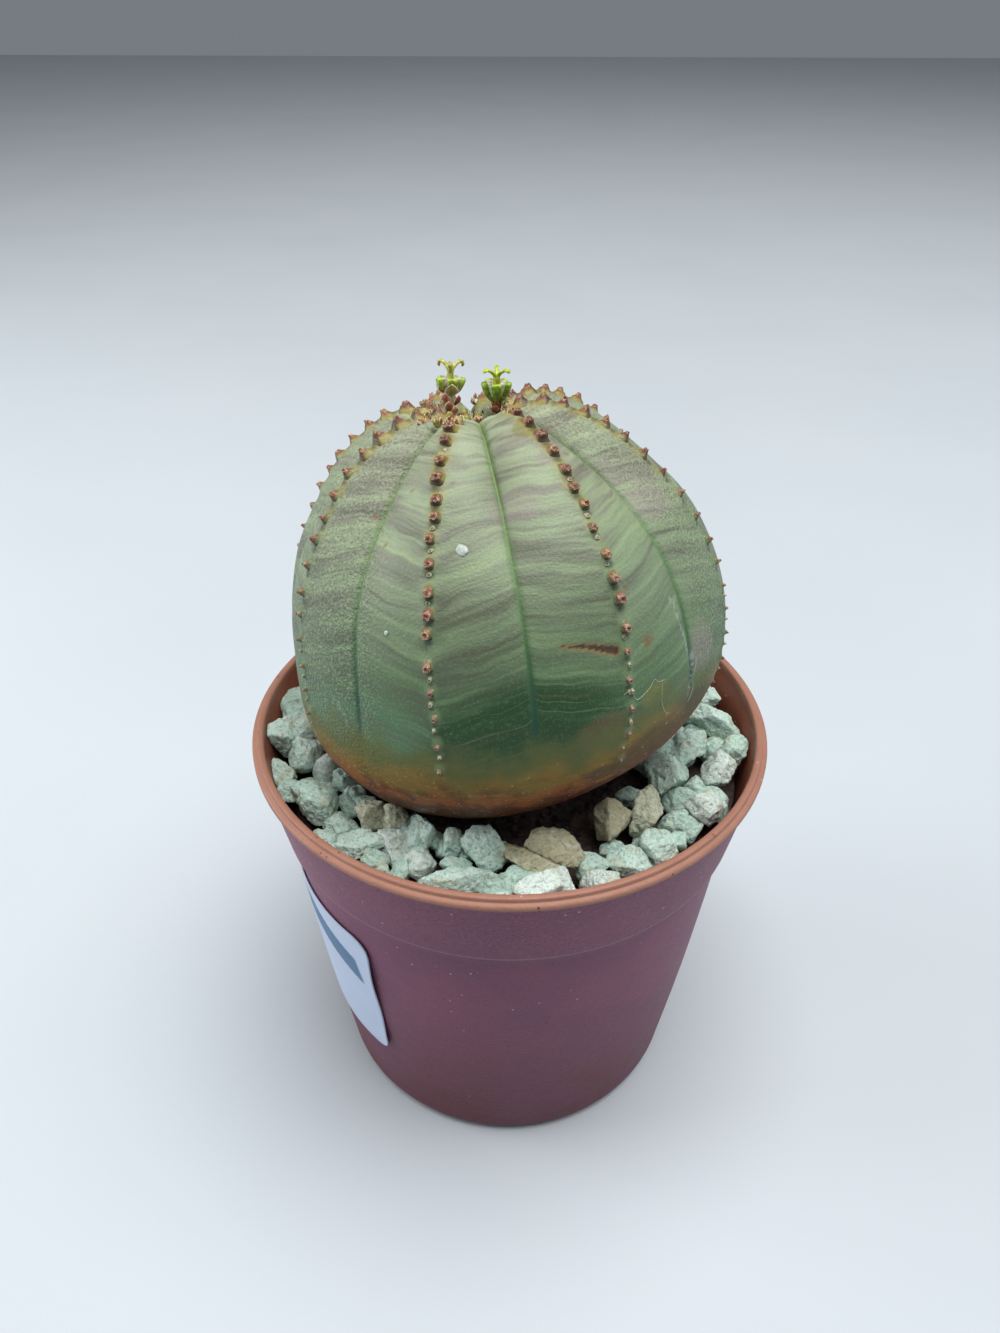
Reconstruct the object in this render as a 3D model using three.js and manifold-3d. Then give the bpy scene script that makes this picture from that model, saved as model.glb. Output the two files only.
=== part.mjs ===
// Baseball plant (Euphorbia obesa) growing in a small plastic nursery pot.
//
// Millimetres, +Z up. The origin is the centre of the pot's base ring, on the surface that it stands
// on. The front is -Y, and the pot's label is on the left front.
//
// The stem is one grown piece: a ribbed, slightly bent and leaning body on a tap root. Its surface
// is a profile swept round the stem's own axis, pulled in between the rib crests. Teeth, buds and
// stones are few-sided solids that are placed by rules and joined to what they stand on.
import * as THREE from "three";
import { mergeVertices } from "three/addons/utils/BufferGeometryUtils.js";
import Module from "manifold-3d";

const wasm = await Module();
wasm.setup();

// ---------------------------------------------------------------- driving dimensions

const GAP = 0.3; // between neighbouring pieces
const SAME_CORNER = 1e-4; // corners closer than this are one
const ROUND_STEPS = 48; // facets round the pot, the soil and the stone bed

// Pot: outside radii and heights, then its inside and its base.
const POT_HEIGHT = 48;
const RIM_RADIUS = 27.5;
const LIP_HEIGHT = 1.3;
const LIP_WIDTH = 1;
const LIP_BEVEL = 0.3;
const COLLAR_TOP_RADIUS = 27;
const COLLAR_FOOT_RADIUS = 25.4;
const COLLAR_FOOT_Z = 37.8;
const COLLAR_STEP = 0.65; // the wall steps in by this under the collar
const COLLAR_STEP_HEIGHT = 0.4;
const WALL_BULGE = 0.3;
const WALL_RINGS = [14, 26]; // heights at which the bulging wall bends
const BASE_RADIUS = 20.5;
const BASE_ROUND = 2.1;
const WALL = 0.85;
const FLOOR = 1;
const FLOOR_CORNER = [1, 1.4]; // how far the corner of floor and wall is filled: across, up
const FOOT_WIDTH = 4;
const FOOT_HEIGHT = 1.2;
const FOOT_SLOPE = 0.8;
const DRAIN_HOLES = 6;
const DRAIN_RADIUS = 2;
const DRAIN_RING_RADIUS = 9.5;
const DRAIN_SIDES = 12;

// Soil: level under the stones, and where it lies bare round the stem.
const SOIL_UNDER_STONES_Z = 41.7;
const SOIL_BARE_Z = 42.6;
const SOIL_BARE_RADIUS = 17.2;
const SOIL_EDGE_ROUND = 0.3;
const CRUMB_HEIGHT = 0.22;
const CRUMB_RINGS = [16, 14.6, 13.2, 11]; // radii
const CRUMB_WAVES = [[17, 3], [11, -2]]; // two waves: per radian round the axis, per mm outwards

// Stem: centre, lean of its axis, and how far the axis drifts sideways towards each end.
const STEM_CENTRE = new THREE.Vector3(-0.6, 0.5, 61.9);
const LEAN_LEFT = 6.4; // degrees
const LEAN_BACK = 9.8; // degrees
const DRIFT_SPAN = 10; // the drifts below are reached this far from the centre
const CROWN_DRIFT = new THREE.Vector2(-0.2, 0);
const BASE_DRIFT = new THREE.Vector2(-0.95, 0.35);
const LONGEST_DRIFT = 19; // the axis is straight again below this

// Half of the stem's outline along a rib crest: radius, height over the stem's centre.
const STEM_OUTLINE = [
  [0, 17.5],
  [3.3, 18.7],
  [6.9, 19],
  [10.3, 17.8],
  [13.3, 15.8],
  [15.8, 13.2],
  [18, 10.4],
  [19.8, 7.2],
  [21, 3.7],
  [21.6, 0],
  [21.8, -3.8],
  [21.3, -7.8],
  [19.8, -11.4],
  [17.4, -14.6],
  [14.4, -17.3],
  [10.6, -19.4],
  [5.5, -20.4],
  [0, -20.6],
];
const STEM_ROWS = 26;
const RIB_AZIMUTHS = [34, 77, 122, 171, 212, 255, 299.2, 342.5]; // degrees about the stem's axis
const RIB_STEPS = [0, 0.1, 0.27, 0.42, 0.5, 0.58, 0.73, 0.9]; // columns, crest to crest

// Grooves: depths, and angles from the crown as seen from the stem's centre, in degrees.
const GROOVE_START = 14; // a groove has its full shape from here on
const GROOVE_DEPTH = 1.75; // deepest, on the shoulder
const GROOVE_DEPTH_ANGLE = 29;
const GROOVE_DEPTH_SPREAD = 29;
const LOW_GROOVE_DEPTH = 0.45; // what is left of it on the flanks
const LOW_GROOVE_START = [20, 60];
const LOW_GROOVE_END = [90, 130];
const CREST_SLOPE = 0.4; // the straight share of the slope between crest and groove

// Tap root: its place, and its outline as radius and height.
const ROOT_X = -2.3;
const ROOT_Y = -1.6;
const ROOT_SIDES = 12;
const ROOT_OUTLINE = [
  [0, 23],
  [1.1, 24.5],
  [2.2, 30],
  [3.6, 37],
  [5.2, 41],
  [6.5, 44],
  [0, 46],
];

// Teeth along each crest, from the crown to the flank's foot.
const TOOTH_START = 4.6; // along the crest from the crown's centre
const TOOTH_END = 43;
const TOOTH_SPACING = [1.85, 2.6]; // at the crown, at the foot
const TOOTH_WIDTH = [1.85, 0.75];
const TOOTH_HEIGHT = [0.95, 0.32];
const TOOTH_ROOT = 0.45; // sunk into the stem
const TOOTH_TILT = 0.15; // leans towards the crown by this much of its height
const TOOTH_SIDES = 4;
const SMALL_TEETH_FROM = 29; // from this distance on, a small tooth follows each one
const SMALL_TOOTH_PLACE = 0.45; // of the way to the next one
const SMALL_TOOTH = 0.75; // its size
const TOOTH_STRAY = { start: 0.5, azimuth: 0.6, size: 0.1, spacing: 0.12, turn: [0.6, 1] };

// Distances of the teeth on the two front crests, by the crest's place in the list of ribs. Near the
// crown these teeth stand beside the crest, by sway degrees at its centre and by none at swayEnd.
const FRONT_TEETH = {
  5: {
    large: [
      8.4, 10.1, 12.5, 14.2, 16.2, 17.7, 19.6, 21.7, 24, 25.8, 27.3, 30, 32.3, 34.6, 37.3, 40,
    ],
    small: [31.1, 33.3, 35.7, 38.4],
    sway: 2.6,
    swayEnd: 30,
  },
  6: {
    large: [
      7.3, 9.2, 11.2, 13.1, 15.1, 16.9, 18.5, 20.6, 23, 25, 26.7, 29.1, 31.1, 33.6, 36.3, 38.9, 42,
    ],
    small: [32.3, 34.7, 37.6, 40.4],
    sway: 4.5,
    swayEnd: 32,
  },
};

// Flower buds at the crown: degrees about the axis, distance from the crown's centre, radius.
const BUDS = [
  [139, 1.9, 0.42],
  [33, 3.9, 0.42],
  [356, 3.7, 0.45],
  [85, 0.9, 0.45],
  [276, 1.3, 0.4],
  [259, 6.5, 0.45],
  [236, 5.9, 0.45],
  [190, 5, 0.5],
  [120, 6.4, 0.55],
  [75, 5.6, 0.5],
];
const BUD_STRETCH = 1.3; // its height against its width
const BUD_ROUGHNESS = 0.06;

// Flowers: place of the foot on the crown, height of the stalk and of the style over the cup's rim,
// turn of the arms, lean.
const FLOWERS = {
  left: { azimuth: 154, out: 2.9, stalk: 1.55, style: 1.25, turn: 30, lean: [0.02, 0.2] },
  right: { azimuth: 28, out: 1.95, stalk: 1.05, style: 0.93, turn: 90, lean: [0, 0.1] },
};
const FLOWER_ROOM = 1.75; // no tooth stands closer to a flower's foot
const FLOWER_SINK = 0.6; // the drawn foot lies under the crest, where the cut leaves a full rim
const STALK_RADIUS = 0.45;
const CUP_HEIGHT = 1.8;
const CUP_OUTLINE = [
  [0.7, 0.5],
  [1.05, 1.2],
  [1.3, CUP_HEIGHT],
  [1, 1.95],
  [0, 1.6],
];
const CUP_STEPS = 10;
const CUP_LOBES = 5;
const LOBE_SIZE = [0.8, 1, 0.85]; // outwards, along the cup's rim, up
const LOBE_RADIUS = 1.05; // its distance from the cup's axis
const LOBE_Z = 1.8;
const LOBE_ROUGHNESS = 0.05;
const STYLE_FOOT_Z = 1.4;
const STYLE_RADIUS = 0.32;
const STYLE_SPREAD = 1.3; // its foot's radius against its top's
const STYLE_SIDES = 6;
const ARMS = 3;
const ARM_SIDES = 5;
const ARM_STEPS = 3;
const ARM_PATH = [
  [-0.05, -0.5], // outwards and upwards from the style's top
  [0.36, 0.12],
  [0.76, 0.3],
  [1.1, 0.36],
];

// Stones of the top dressing, and the packed bed that they stand in.
const BED_TOP_Z = 43.5;
const BED_INNER_RADIUS = 17.6;
const BED_SLOPE = 0.6; // the bed's inner edge leans out by this
const STONE_SINK = 0.6; // how far a stone's foot goes into the bed
const STONE_ROUGHNESS = 0.15; // how far a stone's corners stray from an even ellipsoid
const STONE_TIP = 0.22; // the most that a stone is tipped, in radians
const STONE_CLEARANCE = 0.8; // over the bare soil
const BARE_SOIL_AZIMUTHS = [262, 342];
const BARE_SOIL_EXTRA = 0.6; // the stones keep this much further out where the soil lies bare
const STEM_ROOM = 16.6; // no stone's centre lies closer to the root's axis
const STONE_TRIES = 6000;

// Stones between the shown ones: number, sizes, how close they lie to their neighbours against the
// sum of both sizes, and how far their height strays.
const FILL_STONES = { count: 36, sizes: [3.6, 5], closeness: 0.44, lift: 0.4 };
const CHIP_STONES = { count: 8, sizes: [2.2, 3], closeness: 0.36, lift: 0.3 };
const STONE_WIDTH = [0.65, 0.9]; // against its length
const STONE_HEIGHT = [0.6, 0.85];
const STONE_RIM_ROOM = 0.42; // a scattered stone's centre keeps this share of its size to the wall

// The stones that show most: azimuth and distance from the pot's axis, length, width, height, turn of
// the length from +X in degrees, and height above the usual seat.
const SHOWN_STONES = [
  [181, 23.2, 5.2, 3.8, 3.6, 25, 0.3],
  [190, 22.2, 4.4, 3.6, 3.8, 70, 0.2],
  [195, 24, 3.9, 2.4, 2.8, 120, 0],
  [206, 21.2, 3.4, 2.6, 2.6, -20, 0],
  [212, 22.8, 6.6, 4.4, 3.4, -30, 0.3],
  [214, 19.2, 3.6, 2.8, 3, -70, 0],
  [221, 22, 3.8, 2.8, 2.6, 40, -0.3],
  [225, 19.2, 3.6, 3.2, 3.2, 60, 0],
  [229, 23, 6, 3, 2.8, -5, 0.2],
  [231, 18.5, 3.6, 2.6, 3, -30, 0.3],
  [236, 20.4, 4.2, 3.2, 3, -80, 0],
  [238, 24, 3.4, 2.2, 2.4, 0, 0],
  [242, 18.6, 4, 2.6, 3.2, -70, 0],
  [243, 22.8, 3.4, 2.3, 2.6, 70, 0],
  [247, 21.2, 3.8, 3, 2.8, 10, 0.2],
  [252, 18.5, 3, 2.2, 3, 75, 0],
  [257, 23, 8.6, 3, 2.8, 14, 0.5],
  [262, 18.4, 4.2, 3.4, 3.4, -20, 0.1],
  [268, 24, 2.6, 2, 2.2, 0, 0],
  [270, 21.6, 3.4, 3, 2.6, 20, -0.2],
  [275, 19.4, 6.6, 2.6, 2.2, -32, 0.4],
  [282, 19, 6.2, 3.8, 3, -28, 0.8],
  [279, 23.4, 6.4, 3, 3, 4, 1.3],
  [290, 23.3, 4.2, 2.6, 2.8, 15, 0.2],
  [300, 22.6, 4, 3.4, 3.2, -40, 0.2],
  [304, 17.9, 4.8, 3.4, 3.8, 65, 0.3],
  [309, 23.2, 4.4, 4, 3.6, -20, 0.1],
  [315, 18.9, 5.8, 3, 3.6, 70, 0.3],
  [321, 21.6, 3.8, 2.4, 2.6, -10, -0.2],
  [328, 23.3, 4.2, 3.6, 3.8, 0, 0.4],
  [335, 18, 4.6, 4, 4.2, -50, 0.2],
  [336, 21, 3.4, 2.4, 3, 80, -0.3],
  [343, 22.6, 4.2, 3.4, 4, 60, 0.3],
  [350, 24.2, 4.2, 3, 4, 70, 0.2],
  [4, 22.6, 6.4, 4, 3.6, -40, 0.4],
  [17, 23.8, 4.4, 3, 3, -50, 0],
];

// Label: a thin wrapped sheet on the wall.
const LABEL_THICKNESS = 0.5;
const LABEL_FOOT_Z = 12.3;
const LABEL_TOP_Z = 32.8;
const LABEL_AZIMUTHS = [163, 233.5];
const LABEL_CORNER = 2.2;
const LABEL_STEPS = 18;

// Starts of the random draws.
const SEEDS = { teeth: 11, buds: 23, lobes: 31, stonePlaces: 5, stoneShapes: 7 };

// Worked out from the dimensions above.
const FLOOR_Z = FOOT_HEIGHT + FLOOR;
const LIP_FOOT_Z = POT_HEIGHT - LIP_HEIGHT;
const BED_FOOT_Z = SOIL_UNDER_STONES_Z + GAP;

const COLOURS = {
  pot: [0x8a4a3c, 0.6],
  soil: [0x1d1613, 0.95],
  gravel: [0xa9bda6, 0.9],
  plant_body: [0x6f8a5e, 0.55],
  cyathium_left: [0x8f9a4a, 0.6],
  cyathium_right: [0x8db52c, 0.55],
  label: [0xe9ebee, 0.7],
};

// ---------------------------------------------------------------- tools

const radians = THREE.MathUtils.degToRad;
const mix = THREE.MathUtils.lerp;
const UP = new THREE.Vector3(0, 0, 1);

function polar(radius, azimuth, z) {
  return new THREE.Vector3(radius * Math.cos(azimuth), radius * Math.sin(azimuth), z);
}

// Even draws between two bounds, the same on every run.
function seededDraw(seed) {
  let state = seed;
  return (low, high) => {
    state = (state * 1664525 + 1013904223) % 4294967296;
    return low + (high - low) * (state / 4294967296);
  };
}

// A geometry without normals and texture places, and with its shared corners merged.
function mergedCorners(geometry) {
  const bare = new THREE.BufferGeometry();
  bare.setAttribute("position", geometry.getAttribute("position"));
  bare.setIndex(geometry.index);
  return mergeVertices(bare, SAME_CORNER);
}

// A closed geometry as a solid, with its collapsed faces left out.
function solidFrom(geometry) {
  const merged = mergedCorners(geometry);
  const corners = merged.index.array;
  const kept = [];
  for (let i = 0; i < corners.length; i += 3) {
    const [a, b, c] = corners.slice(i, i + 3);
    if (a !== b && b !== c && c !== a) kept.push(a, b, c);
  }
  const mesh = new wasm.Mesh({
    numProp: 3,
    vertProperties: merged.getAttribute("position").array,
    triVerts: new Uint32Array(kept),
  });
  return new wasm.Manifold(mesh);
}

// A solid back as a three.js geometry, with its largest body only.
function geometryOf(solid) {
  const bodies = solid.decompose().sort((a, b) => b.volume() - a.volume());
  const mesh = bodies[0].getMesh();
  const geometry = new THREE.BufferGeometry();
  geometry.setAttribute("position", new THREE.BufferAttribute(mesh.vertProperties, 3));
  geometry.setIndex(new THREE.BufferAttribute(mesh.triVerts, 1));
  return geometry;
}

// A closed profile of [radius, height] swept round +Z.
function turned(outline, steps = ROUND_STEPS) {
  const points = outline.map(([radius, z]) => new THREE.Vector2(radius, z));
  return new THREE.LatheGeometry(points, steps).rotateX(Math.PI / 2);
}

// A lump with 20 faces whose corners stray at random, stretched to its length, width and height.
const ICOSAHEDRON_REACH = 0.85; // along an axis, for a radius of 1
function lump(draw, length, width, height, roughness) {
  const geometry = mergedCorners(new THREE.IcosahedronGeometry(1, 0));
  const position = geometry.getAttribute("position");
  const corner = new THREE.Vector3();
  for (let i = 0; i < position.count; i++) {
    corner.fromBufferAttribute(position, i).multiplyScalar(1 + draw(-roughness, roughness));
    position.setXYZ(i, corner.x, corner.y, corner.z);
  }
  const stretch = 0.5 / ICOSAHEDRON_REACH;
  return geometry.scale(length * stretch, width * stretch, height * stretch);
}

// ---------------------------------------------------------------- pot

// Outside radius of the wall below the collar.
function wallRadius(z) {
  const top = COLLAR_FOOT_RADIUS - COLLAR_STEP;
  const rise = z / COLLAR_FOOT_Z;
  return mix(BASE_RADIUS, top, rise) + WALL_BULGE * Math.sin(Math.PI * rise);
}

// Inside radius of the wall and the collar.
function insideRadius(z) {
  if (z < COLLAR_FOOT_Z) return wallRadius(z) - WALL;
  const rise = Math.min((z - COLLAR_FOOT_Z) / (LIP_FOOT_Z - COLLAR_FOOT_Z), 1);
  return mix(COLLAR_FOOT_RADIUS, COLLAR_TOP_RADIUS, rise) - WALL;
}

// The inside of the pot from its floor up to the collar, or what lies against it at a distance.
function insideOutline(clearance) {
  const [cornerWidth, cornerHeight] = FLOOR_CORNER;
  const cornerRadius = insideRadius(FLOOR_Z) - cornerWidth - clearance;
  const below = COLLAR_FOOT_Z - COLLAR_STEP_HEIGHT;
  const rings = [FLOOR_Z + cornerHeight, ...WALL_RINGS, below, COLLAR_FOOT_Z];
  const wall = rings.map((z) => [insideRadius(z) - clearance, z + clearance / 2]);
  return [[cornerRadius, FLOOR_Z + clearance], ...wall];
}

function potOutline() {
  const footRadius = BASE_RADIUS - BASE_ROUND;
  const bend = BASE_ROUND * Math.SQRT1_2;
  const wall = [BASE_ROUND, ...WALL_RINGS].map((z) => [wallRadius(z), z]);
  return [
    [0, FOOT_HEIGHT],
    [footRadius - FOOT_WIDTH - FOOT_SLOPE, FOOT_HEIGHT],
    [footRadius - FOOT_WIDTH, 0],
    [footRadius, 0],
    [footRadius + bend, BASE_ROUND - bend],
    ...wall,
    [wallRadius(COLLAR_FOOT_Z), COLLAR_FOOT_Z - COLLAR_STEP_HEIGHT],
    [COLLAR_FOOT_RADIUS, COLLAR_FOOT_Z],
    [COLLAR_TOP_RADIUS, LIP_FOOT_Z],
    [RIM_RADIUS, LIP_FOOT_Z + LIP_BEVEL],
    [RIM_RADIUS, POT_HEIGHT - LIP_BEVEL],
    [RIM_RADIUS - LIP_BEVEL, POT_HEIGHT],
    [RIM_RADIUS - LIP_WIDTH, POT_HEIGHT],
    [insideRadius(LIP_FOOT_Z), LIP_FOOT_Z],
    ...insideOutline(0).reverse(),
    [0, FLOOR_Z],
  ];
}

function drainHoles() {
  const holes = [];
  for (let i = 0; i < DRAIN_HOLES; i++) {
    const { x, y } = polar(DRAIN_RING_RADIUS, (i / DRAIN_HOLES) * 2 * Math.PI, 0);
    const hole = new THREE.CylinderGeometry(DRAIN_RADIUS, DRAIN_RADIUS, 2 * FLOOR_Z, DRAIN_SIDES);
    holes.push(solidFrom(hole.rotateX(Math.PI / 2).translate(x, y, FLOOR_Z)));
  }
  return wasm.Manifold.union(holes);
}

function pot() {
  return solidFrom(turned(potOutline())).subtract(drainHoles());
}

// ---------------------------------------------------------------- stem

const stemOutline = new THREE.SplineCurve(STEM_OUTLINE.map(([r, h]) => new THREE.Vector2(r, h)));

// Turns the stem's own frame, with its axis as +Z, into the part's frame.
function stemFrame() {
  const axis = new THREE.Vector3(-Math.sin(radians(LEAN_LEFT)), Math.sin(radians(LEAN_BACK)), 0);
  axis.z = Math.sqrt(1 - axis.lengthSq());
  const side = new THREE.Vector3(0, 1, 0).cross(axis).normalize();
  const back = new THREE.Vector3().crossVectors(axis, side);
  return new THREE.Matrix4().makeBasis(side, back, axis).setPosition(STEM_CENTRE);
}
const STEM_FRAME = stemFrame();

// How deep the grooves are at an angle from the crown, seen from the stem's centre.
function grooveDepth(angle) {
  const shoulder = (angle - GROOVE_DEPTH_ANGLE) / GROOVE_DEPTH_SPREAD;
  const ease = THREE.MathUtils.smoothstep;
  const low = ease(angle, ...LOW_GROOVE_START) * (1 - ease(angle, ...LOW_GROOVE_END));
  const crown = ease(angle, 0, GROOVE_START);
  return crown * (GROOVE_DEPTH * Math.exp(-shoulder * shoulder) + LOW_GROOVE_DEPTH * low);
}

// From 0 on a crest to 1 in a groove: a soft ridge at the crest and a crease in the groove.
function grooveShape(fraction) {
  const across = 2 * Math.min(fraction, 1 - fraction);
  return CREST_SLOPE * across + (1 - CREST_SLOPE) * across ** 3;
}

// Azimuth of a place that lies a fraction of the way from one crest to the next.
function ribAzimuth(rib, fraction) {
  const count = RIB_AZIMUTHS.length;
  const from = RIB_AZIMUTHS[rib % count];
  const to = RIB_AZIMUTHS[(rib + 1) % count];
  const span = (to - from + 360) % 360;
  return radians(from + span * fraction);
}

// A point of the stem's surface. along runs from 0 at the crown to 1 at the foot.
function stemPoint(azimuth, groove, along, grow = 0) {
  const { x: radius, y: height } = stemOutline.getPoint(along);
  const reach = Math.hypot(radius, height);
  const angle = THREE.MathUtils.radToDeg(Math.atan2(radius, height));
  const scale = (reach - groove * grooveDepth(angle) + grow) / reach;
  const z = height * scale;
  const drift = z > 0 ? CROWN_DRIFT : BASE_DRIFT;
  const bend = (Math.min(Math.abs(z), LONGEST_DRIFT) / DRIFT_SPAN) ** 2;
  const x = radius * scale * Math.cos(azimuth) + drift.x * bend;
  const y = radius * scale * Math.sin(azimuth) + drift.y * bend;
  return new THREE.Vector3(x, y, z).applyMatrix4(STEM_FRAME);
}

// A sphere's grid of faces, drawn onto the stem.
function stemBody(grow, ribSteps = RIB_STEPS, rows = STEM_ROWS) {
  const columns = RIB_AZIMUTHS.length * ribSteps.length;
  const geometry = new THREE.SphereGeometry(1, columns, rows);
  const position = geometry.getAttribute("position");
  for (let i = 0; i < position.count; i++) {
    const column = i % (columns + 1) % columns;
    const row = Math.floor(i / (columns + 1));
    const rib = Math.floor(column / ribSteps.length);
    const fraction = ribSteps[column % ribSteps.length];
    const onAxis = row === 0 || row === rows;
    const groove = onAxis ? 0 : grooveShape(fraction);
    const point = stemPoint(ribAzimuth(rib, fraction), groove, row / rows, grow);
    position.setXYZ(i, point.x, point.y, point.z);
  }
  return solidFrom(geometry);
}

function root(grow) {
  const outline = ROOT_OUTLINE.map(([radius, z]) => [radius ? radius + grow : 0, z]);
  outline[0][1] -= grow;
  return solidFrom(turned(outline, ROOT_SIDES).translate(ROOT_X, ROOT_Y, 0));
}

// The room that the plant takes up, with a margin, for cutting what lies against it.
const ROOM_RIB_STEPS = [0, 0.25, 0.5, 0.75];
const ROOM_ROWS = 20;
const ROOM_MARGIN = GAP + 0.05; // its coarser facets cut the corners of the finer stem
function plantRoom(margin) {
  return stemBody(margin, ROOM_RIB_STEPS, ROOM_ROWS).add(root(margin));
}

// The place and outward direction on a crest, at a distance along it from the crown.
const STEP_DOWN = 0.01; // of the way from the crown to the foot
const STEP_ASIDE = 0.02; // in radians
function crestPlace(azimuth, distance) {
  const total = stemOutline.getLength();
  const along = stemOutline.getUtoTmapping(distance / total);
  const point = stemPoint(azimuth, 0, along);
  const down = stemPoint(azimuth, 0, along + STEP_DOWN).sub(point).normalize();
  const beside = [STEP_ASIDE, -STEP_ASIDE].map((step) => stemPoint(azimuth + step, 0, along));
  const sideways = beside[0].sub(beside[1]);
  const outward = new THREE.Vector3().crossVectors(down, sideways.normalize()).normalize();
  return { point, down, outward, sideways };
}

function tooth(place, width, height, draw) {
  const lean = place.outward.clone().addScaledVector(place.down, -TOOTH_TILT).normalize();
  const length = height + TOOTH_ROOT;
  const facing = draw(...TOOTH_STRAY.turn);
  const cone = new THREE.ConeGeometry(width / 2, length, TOOTH_SIDES, 1, false, facing);
  cone.translate(0, length / 2 - TOOTH_ROOT, 0);
  const turn = new THREE.Quaternion().setFromUnitVectors(new THREE.Vector3(0, 1, 0), lean);
  cone.applyQuaternion(turn).translate(...place.point.toArray());
  return cone;
}

// True where no flower stands.
function isFree(point, flowerFeet) {
  return flowerFeet.every((foot) => foot.distanceTo(point) > FLOWER_ROOM);
}

// The distance of each tooth of one rib, its size, and how far beside the crest it stands.
function toothPlaces(rib, stray) {
  const places = [];
  if (FRONT_TEETH[rib]) {
    const { large, small, sway, swayEnd } = FRONT_TEETH[rib];
    const beside = (distance) => sway * Math.max(1 - distance / swayEnd, 0);
    for (const distance of large) places.push({ distance, size: 1, beside: beside(distance) });
    for (const distance of small) {
      places.push({ distance, size: SMALL_TOOTH, beside: beside(distance) });
    }
    return places;
  }
  let distance = stray(TOOTH_START, TOOTH_STRAY.start);
  while (distance < TOOTH_END) {
    const spacing = mix(...TOOTH_SPACING, distance / TOOTH_END) * stray(1, TOOTH_STRAY.spacing);
    const between = distance + SMALL_TOOTH_PLACE * spacing;
    places.push({ distance, size: 1, beside: 0 });
    if (distance > SMALL_TEETH_FROM) {
      places.push({ distance: between, size: SMALL_TOOTH, beside: 0 });
    }
    distance += spacing;
  }
  return places;
}

// Every tooth of every rib that a flower leaves room for.
function teeth(flowerFeet) {
  const draw = seededDraw(SEEDS.teeth);
  const stray = (middle, spread) => draw(middle - spread, middle + spread);
  const made = [];
  RIB_AZIMUTHS.forEach((crest, rib) => {
    for (const { distance, size, beside } of toothPlaces(rib, stray)) {
      const down = distance / TOOTH_END;
      const grown = stray(size, TOOTH_STRAY.size);
      const azimuth = radians(stray(crest + beside, TOOTH_STRAY.azimuth));
      const place = crestPlace(azimuth, distance);
      const width = mix(...TOOTH_WIDTH, down) * grown;
      const height = mix(...TOOTH_HEIGHT, down) * grown;
      if (isFree(place.point, flowerFeet)) made.push(solidFrom(tooth(place, width, height, draw)));
    }
  });
  return made;
}

function buds() {
  const draw = seededDraw(SEEDS.buds);
  const made = [];
  for (const [azimuth, out, radius] of BUDS) {
    const { point, outward } = crestPlace(radians(azimuth), out);
    const bud = lump(draw, 2 * radius, 2 * radius, 2 * radius * BUD_STRETCH, BUD_ROUGHNESS);
    const turn = new THREE.Quaternion().setFromUnitVectors(UP, outward);
    bud.applyQuaternion(turn).translate(...point.toArray());
    made.push(solidFrom(bud));
  }
  return made;
}

function plantBody(flowerFeet) {
  const pieces = [stemBody(0), root(0), ...teeth(flowerFeet), ...buds()];
  return wasm.Manifold.union(pieces);
}

// ---------------------------------------------------------------- flowers

// One style arm: a bar that rises from the style's top and curls outwards.
function styleArm(azimuth, foot) {
  const points = ARM_PATH.map(([out, up]) => polar(out, azimuth, foot + up));
  const section = new THREE.Shape();
  for (let i = 0; i < ARM_SIDES; i++) {
    const corner = polar(STYLE_RADIUS, (i / ARM_SIDES) * 2 * Math.PI, 0);
    if (i === 0) section.moveTo(corner.x, corner.y);
    else section.lineTo(corner.x, corner.y);
  }
  const path = new THREE.CatmullRomCurve3(points);
  const options = { steps: ARM_STEPS, bevelEnabled: false, extrudePath: path };
  return new THREE.ExtrudeGeometry(section, options);
}

// The stalk and the cup with its lobes, style and arms, upright on the origin.
function flowerPieces({ stalk, style }, draw) {
  const cup = CUP_OUTLINE.map(([radius, z]) => [radius, stalk + z]);
  const outline = [[0, 0], [STALK_RADIUS, 0], [STALK_RADIUS, stalk], ...cup];
  const pieces = [turned(outline, CUP_STEPS)];
  for (let i = 0; i < CUP_LOBES; i++) {
    const azimuth = Math.PI + (i / CUP_LOBES) * 2 * Math.PI;
    const lobe = lump(draw, ...LOBE_SIZE, LOBE_ROUGHNESS).rotateZ(azimuth);
    pieces.push(lobe.translate(...polar(LOBE_RADIUS, azimuth, stalk + LOBE_Z).toArray()));
  }
  const length = CUP_HEIGHT + style - STYLE_FOOT_Z;
  const foot = stalk + STYLE_FOOT_Z;
  const column = new THREE.CylinderGeometry(
    STYLE_RADIUS, STYLE_RADIUS * STYLE_SPREAD, length, STYLE_SIDES,
  );
  pieces.push(column.rotateX(Math.PI / 2).translate(0, 0, foot + length / 2));
  for (let i = 0; i < ARMS; i++) pieces.push(styleArm((i / ARMS) * 2 * Math.PI, foot + length));
  return pieces;
}

// One flower in its place on the crown, cut off where it meets the stem.
function cyathium(flower, stemRoom) {
  const draw = seededDraw(SEEDS.lobes + flower.turn);
  const foot = flowerFoot(flower).toArray();
  const up = new THREE.Vector3(...flower.lean, 1).normalize();
  const lean = new THREE.Quaternion().setFromUnitVectors(UP, up);
  const solids = flowerPieces(flower, draw).map((piece) => {
    piece.rotateZ(radians(flower.turn));
    return solidFrom(piece.applyQuaternion(lean).translate(...foot));
  });
  return wasm.Manifold.union(solids).subtract(stemRoom);
}

function flowerFoot(flower) {
  const { point, outward } = crestPlace(radians(flower.azimuth), flower.out);
  return point.addScaledVector(outward, -FLOWER_SINK);
}

// ---------------------------------------------------------------- soil

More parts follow.
